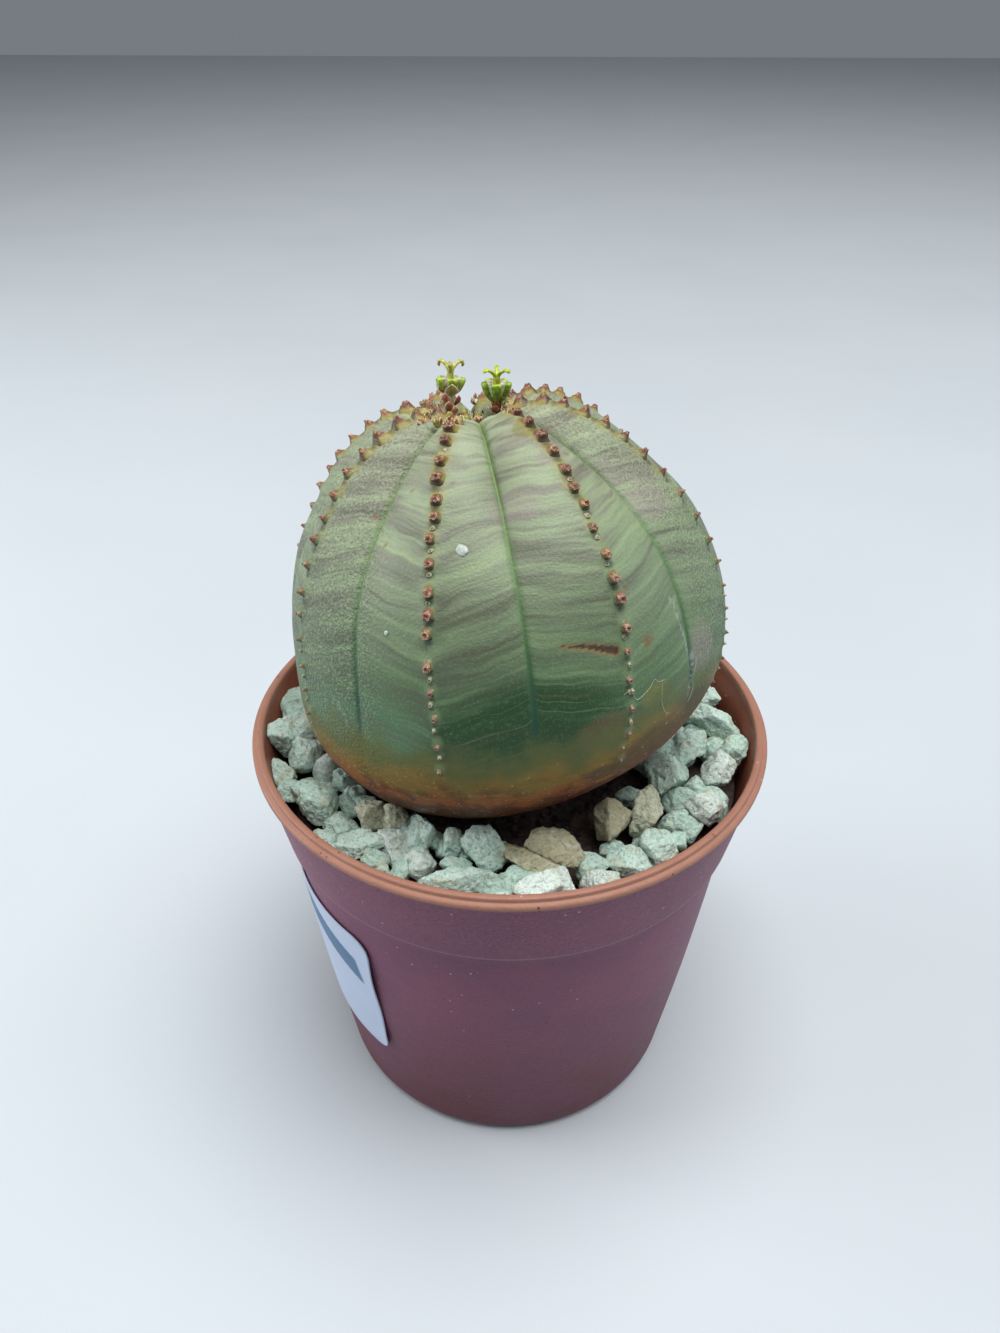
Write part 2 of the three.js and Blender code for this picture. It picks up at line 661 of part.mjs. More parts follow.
function soil(plant) {
  const top = insideRadius(SOIL_UNDER_STONES_Z) - GAP;
  const outline = [
    [0, FLOOR_Z + GAP],
    ...insideOutline(GAP),
    [top, SOIL_UNDER_STONES_Z],
    [SOIL_BARE_RADIUS, SOIL_UNDER_STONES_Z],
    [SOIL_BARE_RADIUS, SOIL_BARE_Z - SOIL_EDGE_ROUND],
    ...CRUMB_RINGS.map((radius) => [radius, SOIL_BARE_Z]),
    [0, SOIL_BARE_Z],
  ];
  const geometry = turned(outline);
  crumble(geometry);
  return solidFrom(geometry).subtract(plant);
}

// Raises and lowers the bare soil in small crumbs.
function crumble(geometry) {
  const position = geometry.getAttribute("position");
  const corner = new THREE.Vector3();
  for (let i = 0; i < position.count; i++) {
    corner.fromBufferAttribute(position, i);
    const radius = Math.hypot(corner.x, corner.y);
    if (radius === 0 || corner.z < SOIL_BARE_Z - SOIL_EDGE_ROUND / 2) continue;
    const azimuth = Math.atan2(corner.y, corner.x);
    const [first, second] = CRUMB_WAVES.map(([round, out]) => round * azimuth + out * radius);
    position.setZ(i, corner.z + CRUMB_HEIGHT * Math.sin(first) * Math.cos(second));
  }
}

// ---------------------------------------------------------------- gravel

function stoneSpec([azimuth, out, length, width, height, turn, lift]) {
  const { x, y } = polar(out, radians(azimuth), 0);
  return { x, y, length, width, height, turn, lift };
}

// True where a stone would cover the soil that lies bare, or stand against the stem.
function isBare(x, y) {
  const azimuth = (THREE.MathUtils.radToDeg(Math.atan2(y, x)) + 360) % 360;
  const [from, to] = BARE_SOIL_AZIMUTHS;
  const extra = azimuth > from && azimuth < to ? BARE_SOIL_EXTRA : 0;
  const fromRoot = Math.hypot(x - ROOT_X, y - ROOT_Y);
  return Math.hypot(x, y) < BED_INNER_RADIUS + extra || fromRoot < STEM_ROOM;
}

// Adds stones of one kind wherever they have room among those that are there.
function scatter(stones, draw, { count, sizes, closeness, lift }) {
  const most = stones.length + count;
  for (let tries = 0; tries < STONE_TRIES && stones.length < most; tries++) {
    const size = draw(...sizes);
    const widest = insideRadius(BED_TOP_Z) - GAP - STONE_RIM_ROOM * size;
    const azimuth = draw(0, 2 * Math.PI);
    const { x, y } = polar(draw(BED_INNER_RADIUS, widest), azimuth, 0);
    const free = (other) => {
      const apart = Math.hypot(x - other.x, y - other.y);
      return apart > closeness * (size + Math.sqrt(other.length * other.width));
    };
    if (isBare(x, y) || !stones.every(free)) continue;
    const width = size * draw(...STONE_WIDTH);
    const height = size * draw(...STONE_HEIGHT);
    const turn = draw(0, 180);
    stones.push({ x, y, length: size, width, height, turn, lift: draw(-lift, lift) });
  }
}

function stoneList() {
  const draw = seededDraw(SEEDS.stonePlaces);
  const stones = SHOWN_STONES.map(stoneSpec);
  scatter(stones, draw, FILL_STONES);
  scatter(stones, draw, CHIP_STONES);
  return stones;
}

function stone({ x, y, length, width, height, turn, lift }, draw) {
  const body = lump(draw, length, width, height, STONE_ROUGHNESS);
  body.rotateX(draw(-STONE_TIP, STONE_TIP)).rotateY(draw(-STONE_TIP, STONE_TIP));
  const z = BED_TOP_Z - STONE_SINK + height / 2 + lift;
  return solidFrom(body.rotateZ(radians(turn)).translate(x, y, z));
}

// The space inside the pot above the soil, where the stones may be.
function stoneRoom() {
  const clear = POT_HEIGHT * 2;
  const overSoil = SOIL_BARE_Z + STONE_CLEARANCE;
  return solidFrom(
    turned([
      [BED_INNER_RADIUS, BED_FOOT_Z],
      [insideRadius(BED_FOOT_Z) - GAP, BED_FOOT_Z],
      [insideRadius(LIP_FOOT_Z) - GAP, LIP_FOOT_Z],
      [RIM_RADIUS - LIP_WIDTH - GAP, clear],
      [0, clear],
      [0, overSoil],
      [BED_INNER_RADIUS, overSoil],
      [BED_INNER_RADIUS, BED_FOOT_Z],
    ]),
  );
}

function stoneBed() {
  return solidFrom(
    turned([
      [BED_INNER_RADIUS, BED_FOOT_Z],
      [insideRadius(BED_FOOT_Z) - GAP, BED_FOOT_Z],
      [insideRadius(BED_TOP_Z) - GAP, BED_TOP_Z],
      [BED_INNER_RADIUS + BED_SLOPE, BED_TOP_Z],
      [BED_INNER_RADIUS, BED_FOOT_Z],
    ]),
  );
}

function gravel(plant) {
  const draw = seededDraw(SEEDS.stoneShapes);
  const stones = stoneList().map((spec) => stone(spec, draw));
  return wasm.Manifold.union([stoneBed(), ...stones]).intersect(stoneRoom()).subtract(plant);
}

// ---------------------------------------------------------------- label

// A thin block whose corners are rounded, bent round the wall.
function label() {
  const [from, to] = LABEL_AZIMUTHS.map(radians);
  const height = LABEL_TOP_Z - LABEL_FOOT_Z;
  const middle = wallRadius((LABEL_TOP_Z + LABEL_FOOT_Z) / 2);
  const corner = LABEL_CORNER / middle;
  const outline = [];
  for (let i = 0; i <= LABEL_STEPS; i++) {
    const azimuth = mix(from, to, i / LABEL_STEPS);
    const past = Math.max(corner - (azimuth - from), corner - (to - azimuth), 0) * middle;
    outline.push([azimuth, LABEL_CORNER - Math.sqrt(LABEL_CORNER ** 2 - past ** 2)]);
  }
  const slab = new THREE.BoxGeometry(1, 1, 1, LABEL_STEPS, 1, 1);
  const position = slab.getAttribute("position");
  for (let i = 0; i < position.count; i++) {
    const [azimuth, inset] = outline[Math.round((position.getX(i) + 0.5) * LABEL_STEPS)];
    const room = height / 2 - inset;
    const z = LABEL_FOOT_Z + height / 2 + Math.sign(position.getY(i)) * room;
    const radius = wallRadius(z) + GAP + (position.getZ(i) > 0 ? LABEL_THICKNESS : 0);
    position.setXYZ(i, radius * Math.cos(azimuth), radius * Math.sin(azimuth), z);
  }
  return solidFrom(slab);
}

// ---------------------------------------------------------------- assembly

function meshOf(name, solid) {
  const [color, roughness] = COLOURS[name];
  const material = new THREE.MeshStandardMaterial({ color, roughness, metalness: 0 });
  const mesh = new THREE.Mesh(geometryOf(solid), material);
  mesh.name = name;
  return mesh;
}

const plantClearance = plantRoom(ROOM_MARGIN);
const flowerFeet = Object.values(FLOWERS).map(flowerFoot);
const pottedPlant = new THREE.Group();
pottedPlant.add(
  meshOf("pot", pot()),
  meshOf("soil", soil(plantClearance)),
  meshOf("gravel", gravel(plantClearance)),
  meshOf("plant_body", plantBody(flowerFeet)),
  meshOf("cyathium_left", cyathium(FLOWERS.left, plantClearance)),
  meshOf("cyathium_right", cyathium(FLOWERS.right, plantClearance)),
  meshOf("label", label()),
);

export default pottedPlant;
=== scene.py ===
"""Looks of a baseball plant in its nursery pot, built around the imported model.

Lengths below are in millimetres and angles in degrees, unless a name says otherwise. new_mesh()
turns every point into metres. +Z is up, the front is -Y, and the origin is the middle of the pot's
base. Colours are written as six hexadecimal digits of their display values.
"""

import math

import bmesh
import bpy
import numpy as np
from mathutils import Matrix, Vector, noise


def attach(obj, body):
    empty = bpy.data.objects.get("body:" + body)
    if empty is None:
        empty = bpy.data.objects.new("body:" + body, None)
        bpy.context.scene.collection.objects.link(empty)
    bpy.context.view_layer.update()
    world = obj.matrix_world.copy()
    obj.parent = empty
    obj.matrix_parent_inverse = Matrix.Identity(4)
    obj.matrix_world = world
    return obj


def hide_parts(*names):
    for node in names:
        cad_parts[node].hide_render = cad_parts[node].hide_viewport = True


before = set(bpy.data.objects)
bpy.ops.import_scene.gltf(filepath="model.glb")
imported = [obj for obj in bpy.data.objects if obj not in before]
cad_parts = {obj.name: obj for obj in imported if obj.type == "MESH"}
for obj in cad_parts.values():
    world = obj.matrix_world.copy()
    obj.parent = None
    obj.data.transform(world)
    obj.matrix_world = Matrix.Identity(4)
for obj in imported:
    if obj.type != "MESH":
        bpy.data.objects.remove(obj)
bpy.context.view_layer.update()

MM = 0.001
BODY = "root"

# ---- sizes of the solids

GAP = 0.3

POT_HEIGHT = 48.0
RIM_RADIUS = 27.5
LIP_HEIGHT = 1.3
LIP_FOOT_Z = POT_HEIGHT - LIP_HEIGHT
COLLAR_TOP_RADIUS = 27.0
COLLAR_FOOT_RADIUS = 25.4
COLLAR_FOOT_Z = 37.8
COLLAR_STEP = 0.65
WALL_BULGE = 0.3
BASE_RADIUS = 20.5
BASE_ROUND = 2.1
WALL = 0.85
FOOT_WIDTH = 4.0
FOOT_HEIGHT = 1.2
FOOT_SLOPE = 0.8
FLOOR_Z = 2.2
DRAIN_HOLES = 6
DRAIN_RADIUS = 2.0
DRAIN_RING_RADIUS = 9.5

SOIL_UNDER_STONES_Z = 41.7
SOIL_BARE_Z = 42.6
SOIL_BARE_RADIUS = 17.2

STEM_CENTRE = np.array([-0.6, 0.5, 61.9])
LEAN_LEFT = 6.4
LEAN_BACK = 9.8
DRIFT_SPAN = 10.0
CROWN_DRIFT = np.array([-0.2, 0.0])
BASE_DRIFT = np.array([-0.95, 0.35])
LONGEST_DRIFT = 19.0
STEM_OUTLINE = np.array([
    [0, 17.5], [3.3, 18.7], [6.9, 19], [10.3, 17.8], [13.3, 15.8], [15.8, 13.2], [18, 10.4], [19.8, 7.2],
    [21, 3.7], [21.6, 0], [21.8, -3.8], [21.3, -7.8], [19.8, -11.4], [17.4, -14.6], [14.4, -17.3],
    [10.6, -19.4], [5.5, -20.4], [0, -20.6],
])
RIB_AZIMUTHS = np.array([34, 77, 122, 171, 212, 255, 299.2, 342.5])
GROOVE_START = 14.0
GROOVE_DEPTH = 1.75
GROOVE_DEPTH_ANGLE = 29.0
GROOVE_DEPTH_SPREAD = 29.0
LOW_GROOVE_DEPTH = 0.45
LOW_GROOVE_START = (20.0, 60.0)
LOW_GROOVE_END = (90.0, 130.0)
CREST_SLOPE = 0.4
ROOT_X = -2.3
ROOT_Y = -1.6
ROOT_OUTLINE = [(0, 23), (1.1, 24.5), (2.2, 30), (3.6, 37), (5.2, 41), (6.5, 44), (0, 46)]

TOOTH_START = 4.6
TOOTH_END = 43.0
TOOTH_SPACING = (1.85, 2.6)
TOOTH_WIDTH = (1.85, 0.75)
TOOTH_HEIGHT = (0.95, 0.32)
TOOTH_TILT = 0.15
SMALL_TEETH_FROM = 29.0
SMALL_TOOTH_PLACE = 0.45
SMALL_TOOTH = 0.75
TOOTH_STRAY = {"start": 0.5, "azimuth": 0.6, "size": 0.1, "spacing": 0.12, "turn": (0.6, 1.0)}

# Distances of the teeth on the two front crests, by the crest's place in the list of ribs. Near the
# crown they stand beside the crest, by sway degrees at its centre and by none at sway_end.
FRONT_TEETH = {
    5: {
        "large": (8.4, 10.1, 12.5, 14.2, 16.2, 17.7, 19.6, 21.7, 24, 25.8, 27.3, 30, 32.3, 34.6, 37.3, 40),
        "small": (31.1, 33.3, 35.7, 38.4),
        "sway": 2.6,
        "sway_end": 30,
    },
    6: {
        "large": (
            7.3, 9.2, 11.2, 13.1, 15.1, 16.9, 18.5, 20.6, 23, 25, 26.7, 29.1, 31.1, 33.6, 36.3, 38.9, 42,
        ),
        "small": (32.3, 34.7, 37.6, 40.4),
        "sway": 4.5,
        "sway_end": 32,
    },
}

# Flower buds: degrees about the stem's axis, distance from the crown's centre, radius.
BUDS = [
    (139, 1.9, 0.42), (33, 3.9, 0.42), (356, 3.7, 0.45), (85, 0.9, 0.45), (276, 1.3, 0.4),
    (259, 6.5, 0.45), (236, 5.9, 0.45), (190, 5, 0.5), (120, 6.4, 0.55), (75, 5.6, 0.5),
]
FLOWERS = {
    "left": {"azimuth": 154, "out": 2.9, "stalk": 1.55, "style": 1.25, "turn": 30, "lean": (0.02, 0.2)},
    "right": {"azimuth": 28, "out": 1.95, "stalk": 1.05, "style": 0.93, "turn": 90, "lean": (0, 0.1)},
}
FLOWER_ROOM = 1.75
FLOWER_SINK = 0.6

BED_TOP_Z = 43.5
BED_INNER_RADIUS = 17.6
STONE_SINK = 0.6
STONE_TIP = 0.22
LUMP_CORNERS = 12
BARE_SOIL_AZIMUTHS = (262, 342)
BARE_SOIL_EXTRA = 0.6
STEM_ROOM = 16.6
STONE_TRIES = 6000
FILL_STONES = {"count": 36, "sizes": (3.6, 5), "closeness": 0.44, "lift": 0.4}
CHIP_STONES = {"count": 8, "sizes": (2.2, 3), "closeness": 0.36, "lift": 0.3}
STONE_WIDTH = (0.65, 0.9)
STONE_HEIGHT = (0.6, 0.85)
STONE_RIM_ROOM = 0.42

# The stones that show most: azimuth and distance from the pot's axis, length, width, height, turn
# of the length from +X, and height above the usual seat.
SHOWN_STONES = [
    (181, 23.2, 5.2, 3.8, 3.6, 25, 0.3), (190, 22.2, 4.4, 3.6, 3.8, 70, 0.2),
    (195, 24, 3.9, 2.4, 2.8, 120, 0), (206, 21.2, 3.4, 2.6, 2.6, -20, 0),
    (212, 22.8, 6.6, 4.4, 3.4, -30, 0.3), (214, 19.2, 3.6, 2.8, 3, -70, 0),
    (221, 22, 3.8, 2.8, 2.6, 40, -0.3), (225, 19.2, 3.6, 3.2, 3.2, 60, 0), (229, 23, 6, 3, 2.8, -5, 0.2),
    (231, 18.5, 3.6, 2.6, 3, -30, 0.3), (236, 20.4, 4.2, 3.2, 3, -80, 0), (238, 24, 3.4, 2.2, 2.4, 0, 0),
    (242, 18.6, 4, 2.6, 3.2, -70, 0), (243, 22.8, 3.4, 2.3, 2.6, 70, 0),
    (247, 21.2, 3.8, 3, 2.8, 10, 0.2), (252, 18.5, 3, 2.2, 3, 75, 0), (257, 23, 8.6, 3, 2.8, 14, 0.5),
    (262, 18.4, 4.2, 3.4, 3.4, -20, 0.1), (268, 24, 2.6, 2, 2.2, 0, 0),
    (270, 21.6, 3.4, 3, 2.6, 20, -0.2), (275, 19.4, 6.6, 2.6, 2.2, -32, 0.4),
    (282, 19, 6.2, 3.8, 3, -28, 0.8), (279, 23.4, 6.4, 3, 3, 4, 1.3), (290, 23.3, 4.2, 2.6, 2.8, 15, 0.2),
    (300, 22.6, 4, 3.4, 3.2, -40, 0.2), (304, 17.9, 4.8, 3.4, 3.8, 65, 0.3),
    (309, 23.2, 4.4, 4, 3.6, -20, 0.1), (315, 18.9, 5.8, 3, 3.6, 70, 0.3),
    (321, 21.6, 3.8, 2.4, 2.6, -10, -0.2), (328, 23.3, 4.2, 3.6, 3.8, 0, 0.4),
    (335, 18, 4.6, 4, 4.2, -50, 0.2), (336, 21, 3.4, 2.4, 3, 80, -0.3), (343, 22.6, 4.2, 3.4, 4, 60, 0.3),
    (350, 24.2, 4.2, 3, 4, 70, 0.2), (4, 22.6, 6.4, 4, 3.6, -40, 0.4), (17, 23.8, 4.4, 3, 3, -50, 0),
]

LABEL_FOOT_Z = 12.3
LABEL_TOP_Z = 32.8
LABEL_AZIMUTHS = (163, 233.5)
LABEL_CORNER = 2.2

# The first three are the solids' own.
SEEDS = {"teeth": 11, "stonePlaces": 5, "stoneShapes": 7, "buds": 41, "crumbs": 57, "stoneLooks": 19}

# ---- what the looks add

POT_COLUMNS = 288
SOIL_COLUMNS = 288
STEM_ROW_STEP = 0.245  # along the stem, where it shows
STEM_COLUMNS_A_FACE = 44
STEM_SHOWN_LENGTH = 52.0
CREASE_DEPTH = 0.14
CREASE_WIDTH = 0.24
CREASE_END = (34.0, 38.5)
CHEVRON = 2.2  # how much closer to the crown the bands lie in a groove than on a crest
LEVEL_CHEVRON = 1.1  # the same where the bands are more level
LEVEL_AZIMUTHS = (277, 299.2)
TOOTH_COLUMNS = 16

# ---- tools


def seeded_draw(seed):
    """Even draws between two bounds, the same as those that placed the solids."""
    state = seed

    def draw(low, high):
        nonlocal state
        state = (state * 1664525 + 1013904223) % 4294967296
        return low + (high - low) * (state / 4294967296)

    return draw


def mix(start, end, share):
    return start + (end - start) * share


def ease(value, low, high):
    """Smooth step from 0 at low to 1 at high."""
    share = np.clip((value - low) / (high - low), 0, 1)
    return share * share * (3 - 2 * share)


def unit(vector):
    return vector / np.linalg.norm(vector)


def units(vectors):
    """Each row's vector at length 1."""
    return vectors / np.linalg.norm(vectors, axis=1)[:, None]


def circle(columns):
    """Even angles round a circle."""
    return np.linspace(0, 2 * math.pi, columns, endpoint=False)


def turn_from(azimuth, target):
    """Degrees from a target azimuth, between -180 and 180."""
    return (azimuth - target + 180) % 360 - 180


def rotation(degrees, axis="Z"):
    return Matrix.Rotation(math.radians(degrees), 3, axis)


def on_axis(outline):
    """An outline with no radius below zero, where a curve has swung past the axis."""
    outline[:, 0] = np.maximum(outline[:, 0], 0)
    return outline


def polar(radius, azimuth, z=0.0):
    """A point at an azimuth in degrees."""
    angle = np.radians(azimuth)
    return np.array([radius * math.cos(angle), radius * math.sin(angle), z])


def noise_shift(seed):
    """How far a seed moves its points through the noise."""
    return Vector((seed * 13.7, seed * 7.1, seed * 3.3))


def noise_at(points, size, seed=0):
    """Smooth noise from -1 to 1 at each point, with features of about that size."""
    shift = noise_shift(seed)
    return np.array([noise.noise(Vector(p) / size + shift) for p in points])


def rough_at(points, size, seed=0, octaves=4):
    """Noise with finer and finer features on top."""
    shift = noise_shift(seed)
    return np.array([noise.fractal(Vector(p) / size + shift, 0.8, 2.0, octaves) for p in points])


def grid_faces(rows, columns, first=0, closed=True):
    """Quads of a grid whose rows are rings, or open strips where closed is false."""
    faces = []
    around = columns if closed else columns - 1
    for row in range(rows - 1):
        start = first + row * columns
        for column in range(around):
            beside = (column + 1) % columns
            above = start + columns
            faces.append((start + column, start + beside, above + beside, above + column))
    return faces


def capped_grid(rings, low_tip, high_tip):
    """Points and faces of rings closed by a point at each end. The first ring is the low one."""
    rows, columns = rings.shape[:2]
    points = np.concatenate([rings.reshape(-1, 3), [low_tip, high_tip]])
    faces = grid_faces(rows, columns)
    low, high = rows * columns, rows * columns + 1
    last = (rows - 1) * columns
    for column in range(columns):
        beside = (column + 1) % columns
        faces.append((low, beside, column))
        faces.append((high, last + column, last + beside))
    return points, faces


def turned(outline, columns):
    """A closed body swept round +Z from an outline of (radius, z) that runs from axis to axis."""
    outline = np.array(outline, float)
    angles = circle(columns)
    inner = outline[1:-1]
    rings = np.empty((len(inner), columns, 3))
    rings[..., 0] = inner[:, :1] * np.cos(angles)
    rings[..., 1] = inner[:, :1] * np.sin(angles)
    rings[..., 2] = inner[:, 1:]
    return capped_grid(rings, (0, 0, outline[0, 1]), (0, 0, outline[-1, 1]))


class Heap:
    """Bodies gathered into one mesh, with values kept for each point."""

    def __init__(self):
        self.points = []
        self.faces = []
        self.values = {}
        self.count = 0

    def add(self, points, faces, **values):
        self.points.append(points)
        self.faces.extend(tuple(corner + self.count for corner in face) for face in faces)
        for name, value in values.items():
            value = np.asarray(value, float)
            shape = (len(points), 3) if value.shape[-1:] == (3,) else (len(points),)
            self.values.setdefault(name, []).append(np.broadcast_to(value, shape))
        self.count += len(points)

    def build(self, name, material, node, slot):
        values = {key: np.concatenate(parts) for key, parts in self.values.items()}
        return build(name, np.concatenate(self.points), self.faces, material, node, values)


def new_mesh(name, points, faces):
    mesh = bpy.data.meshes.new(name)
    mesh.from_pydata((np.asarray(points) * MM).tolist(), [], faces)
    return mesh


def link(name, data):
    """A new object in the scene."""
    made = bpy.data.objects.new(name, data)
    bpy.context.scene.collection.objects.link(made)
    return made


def build(name, points, faces, material, node, values=None):
    """Makes a smooth-shaded piece that rides on the body and stands for a node of the frame."""
    mesh = new_mesh(name, points, faces)
    for key, value in (values or {}).items():
        kind, field = ("FLOAT_VECTOR", "vector") if value.ndim == 2 else ("FLOAT", "value")
        layer = mesh.attributes.new(key, kind, "POINT")
        layer.data.foreach_set(field, np.ascontiguousarray(value, np.float32).ravel())
    mesh.polygons.foreach_set("use_smooth", [True] * len(mesh.polygons))
    mesh.update()
    mesh.materials.append(material)
    piece = link(name, mesh)
    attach(piece, BODY)
    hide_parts(node)
    return piece


# ---- material tools


class Value:
    """A node's output, a number or a vector. A formula with it makes the nodes that work it out."""

    def __init__(self, shader, socket):
        self.shader = shader
        self.socket = socket

    def __add__(self, other):
        return self.shader.math("ADD", self, other)

    def __sub__(self, other):
        return self.shader.math("SUBTRACT", self, other)

    def __rsub__(self, other):
        return self.shader.math("SUBTRACT", other, self)

    def __mul__(self, other):
        return self.shader.math("MULTIPLY", self, other)

    def __truediv__(self, other):
        return self.shader.math("DIVIDE", self, other)

    def step(self, low, high):
        """Smooth step from 0 at low to 1 at high, also downwards."""
        inputs = {
            "Value": self,
            "From Min": min(low, high),
            "From Max": max(low, high),
            "To Min": float(low > high),
            "To Max": float(low < high),
        }
        return self.shader.made("MapRange", inputs, interpolation_type="SMOOTHSTEP")

    def scaled(self, factors):
        return self.shader.made("VectorMath", {0: self, 1: factors}, operation="MULTIPLY")

    def moved(self, offset):
        return self.shader.made("VectorMath", {0: self, 1: offset}, operation="ADD")

    def part(self, axis):
        return self.shader.made("SeparateXYZ", {0: self}, axis)

    def noise(self, size, detail=2.0, roughness=0.5):
        """Noise from 0 to 1 with features of about that size, in the vector's own units."""
        inputs = {"Vector": self, "Scale": 1 / size, "Detail": detail, "Roughness": roughness}
        return self.shader.made("TexNoise", inputs)

    def cells(self, size):
        """Distance to the nearest of points strewn about, in cells of about that size."""
        return self.shader.made("TexVoronoi", {"Vector": self, "Scale": 1 / size}, "Distance")

    def blend(self, low, high):
        """The low colour where this is 0, and the high one where it is 1."""
        return self.shader.made("Mix", {"Factor": self, 6: low, 7: high}, 2, data_type="RGBA")

    def tint(self, share, colour, kind="MIX"):
        """This colour with a share of another laid over it."""
        inputs = {"Factor": share, 6: self, 7: colour}
        return self.shader.made("Mix", inputs, 2, data_type="RGBA", blend_type=kind)

    def ramp(self, stops):
        """Colour along a list of (place, colour)."""
        made = self.shader.made("ValToRGB", {0: self})
        ramp = made.socket.node.color_ramp
        while len(ramp.elements) < len(stops):
            ramp.elements.new(0.5)
        for element, (place, colour) in zip(ramp.elements, stops):
            element.position = place
            element.color = (*colour_values(colour), 1)
        return made


class Shader:
    """A material whose looks are written as formulas of values."""

    def __init__(self, name, roughness=0.5, specular=0.5):
        self.material = bpy.data.materials.new(name)
        self.material.use_nodes = True
        self.tree = self.material.node_tree
        self.surface = self.tree.nodes["Principled BSDF"]
        self.set("Roughness", roughness)
        self.set("Specular IOR Level", specular)

    def made(self, kind, inputs, output=0, **options):
        """An output of a new node with these inputs and options."""
        node = self.tree.nodes.new("ShaderNode" + kind)
        for key, value in options.items():
            setattr(node, key, value)
        for key, value in inputs.items():
            self.put(node.inputs[key], value)
        return Value(self, node.outputs[output])

    def put(self, socket, value):
        """Links a value to a socket, or writes a plain one there."""
        if isinstance(value, Value):
            self.tree.links.new(value.socket, socket)
        elif socket.type == "RGBA":
            socket.default_value = (*colour_values(value), 1)
        else:
            socket.default_value = value

    def set(self, socket, value):
        self.put(self.surface.inputs[socket], value)

    def value(self, name):
        """A number kept for each point of the mesh."""
        return self.made("Attribute", {}, "Fac", attribute_name=name)

    def vector(self, name):
        """A vector kept for each point of the mesh."""
        return self.made("Attribute", {}, "Vector", attribute_name=name)

    def place(self):
        """The point's own place in millimetres."""
        return self.made("TexCoord", {}, "Object").scaled((1 / MM,) * 3)

    def joined(self, x, y, z):
        return self.made("CombineXYZ", {0: x, 1: y, 2: z})

    def math(self, operation, a, b):
        return self.made("Math", {0: a, 1: b}, operation=operation)

    def mixed(self, share, low, high):
        """A number between two others."""
        return self.made("Mix", {"Factor": share, 2: low, 3: high}, data_type="FLOAT")

    def bump(self, height, depth, below=None):
        """Adds relief: height runs from 0 to 1 over a depth in millimetres."""
        inputs = {"Strength": 1.0, "Distance": depth * MM, "Height": height}
        if below is not None:
            inputs["Normal"] = below
        relief = self.made("Bump", inputs)
        self.set("Normal", relief)
        return relief


def srgb(code):
    """A colour given by its display values in hexadecimal, as the shader's own values."""
    values = np.array([int(code[i : i + 2], 16) for i in (0, 2, 4)]) / 255
    return tuple(np.where(values <= 0.04045, values / 12.92, ((values + 0.055) / 1.055) ** 2.4))


def colour_values(colour):
    """The shader's own values of a colour in hexadecimal, or of a grey given by one number."""
    return srgb(colour) if isinstance(colour, str) else (colour,) * 3


# ---- camera, light and floor

# The picture's height and the lens's focal length are in pixels.
FRAME_HEIGHT = 1333
FOCAL_LENGTH = 1000
CAMERA_DISTANCE = 105.23
CAMERA_ELEVATION = 35.52
CAMERA_ROLL = 0.196
AIM = Vector((-1.04, 0, 53.6))
SENSOR_HEIGHT = 36.0
NEAR_CLIP = 5.0

# Place, size, power and colour of each light. All of them aim at the middle.
LIGHT_AIM = (0, 0, 45)
LIGHTS = {
    "top_light": ((125, -60, 893), 800, 11.5, (1.0, 1.0, 0.98)),
    "left_light": ((-420, 20, 200), 300, 1.4, (0.95, 0.98, 1.0)),
    "right_light": ((420, 0, 200), 300, 0.46, (0.84, 0.9, 1.0)),
}
SKY_COLOUR = (0.84, 0.91, 1.0)
SKY_STRENGTH = 0.22
FLOOR_REACH = 1500.0
FLOOR_STEPS = 24


def add_camera():
    data = bpy.data.cameras.new("camera")
    data.sensor_fit = "VERTICAL"
    data.sensor_height = SENSOR_HEIGHT
    data.lens = FOCAL_LENGTH / FRAME_HEIGHT * SENSOR_HEIGHT
    data.clip_start = NEAR_CLIP * MM
    camera = link("camera", data)
    elevation = math.radians(CAMERA_ELEVATION)
    back = Vector((0, -math.cos(elevation), math.sin(elevation)))
    across = Vector((1, 0, 0))
    up = back.cross(across)
    roll = rotation(CAMERA_ROLL, back)
    turn = Matrix((roll @ across, roll @ up, back)).transposed()
    place = (AIM + back * CAMERA_DISTANCE) * MM
    camera.matrix_world = Matrix.Translation(place) @ turn.to_4x4()
    bpy.context.scene.camera = camera


def add_area_light(name, place, size, power, colour):
    data = bpy.data.lights.new(name, "AREA")
    data.shape = "DISK"
    data.size = size * MM
    data.energy = power
    data.color = colour
    light = link(name, data)
    place = Vector(place)
    light.location = place * MM
    light.rotation_euler = (place - Vector(LIGHT_AIM)).to_track_quat("Z", "Y").to_euler()


def add_lights():
    for name, light in LIGHTS.items():
        add_area_light(name, *light)
    world = bpy.data.worlds.new("world")
    world.use_nodes = True
    background = world.node_tree.nodes["Background"]
    background.inputs["Color"].default_value = (*SKY_COLOUR, 1)
    background.inputs["Strength"].default_value = SKY_STRENGTH
    bpy.context.scene.world = world
    bpy.context.scene.view_settings.view_transform = "Standard"


def add_floor():
    shader = Shader("floor_paint", roughness=0.75, specular=0.3)
    place = shader.place()
    shader.set("Base Color", place.noise(60, 3).blend("b0b6bc", "b8bdc2"))
    shader.bump(place.noise(0.8, 3), 0.02)
    side = np.linspace(-FLOOR_REACH, FLOOR_REACH, FLOOR_STEPS + 1)
    points = [(x, y, 0) for y in side for x in side]
    mesh = new_mesh("floor", points, grid_faces(len(side), len(side), closed=False))
    mesh.materials.append(shader.material)
    floor = link("floor", mesh)


# ---- pot


def wall_radius(z):
    top = COLLAR_FOOT_RADIUS - COLLAR_STEP
    rise = z / COLLAR_FOOT_Z
    return mix(BASE_RADIUS, top, rise) + WALL_BULGE * math.sin(math.pi * rise)


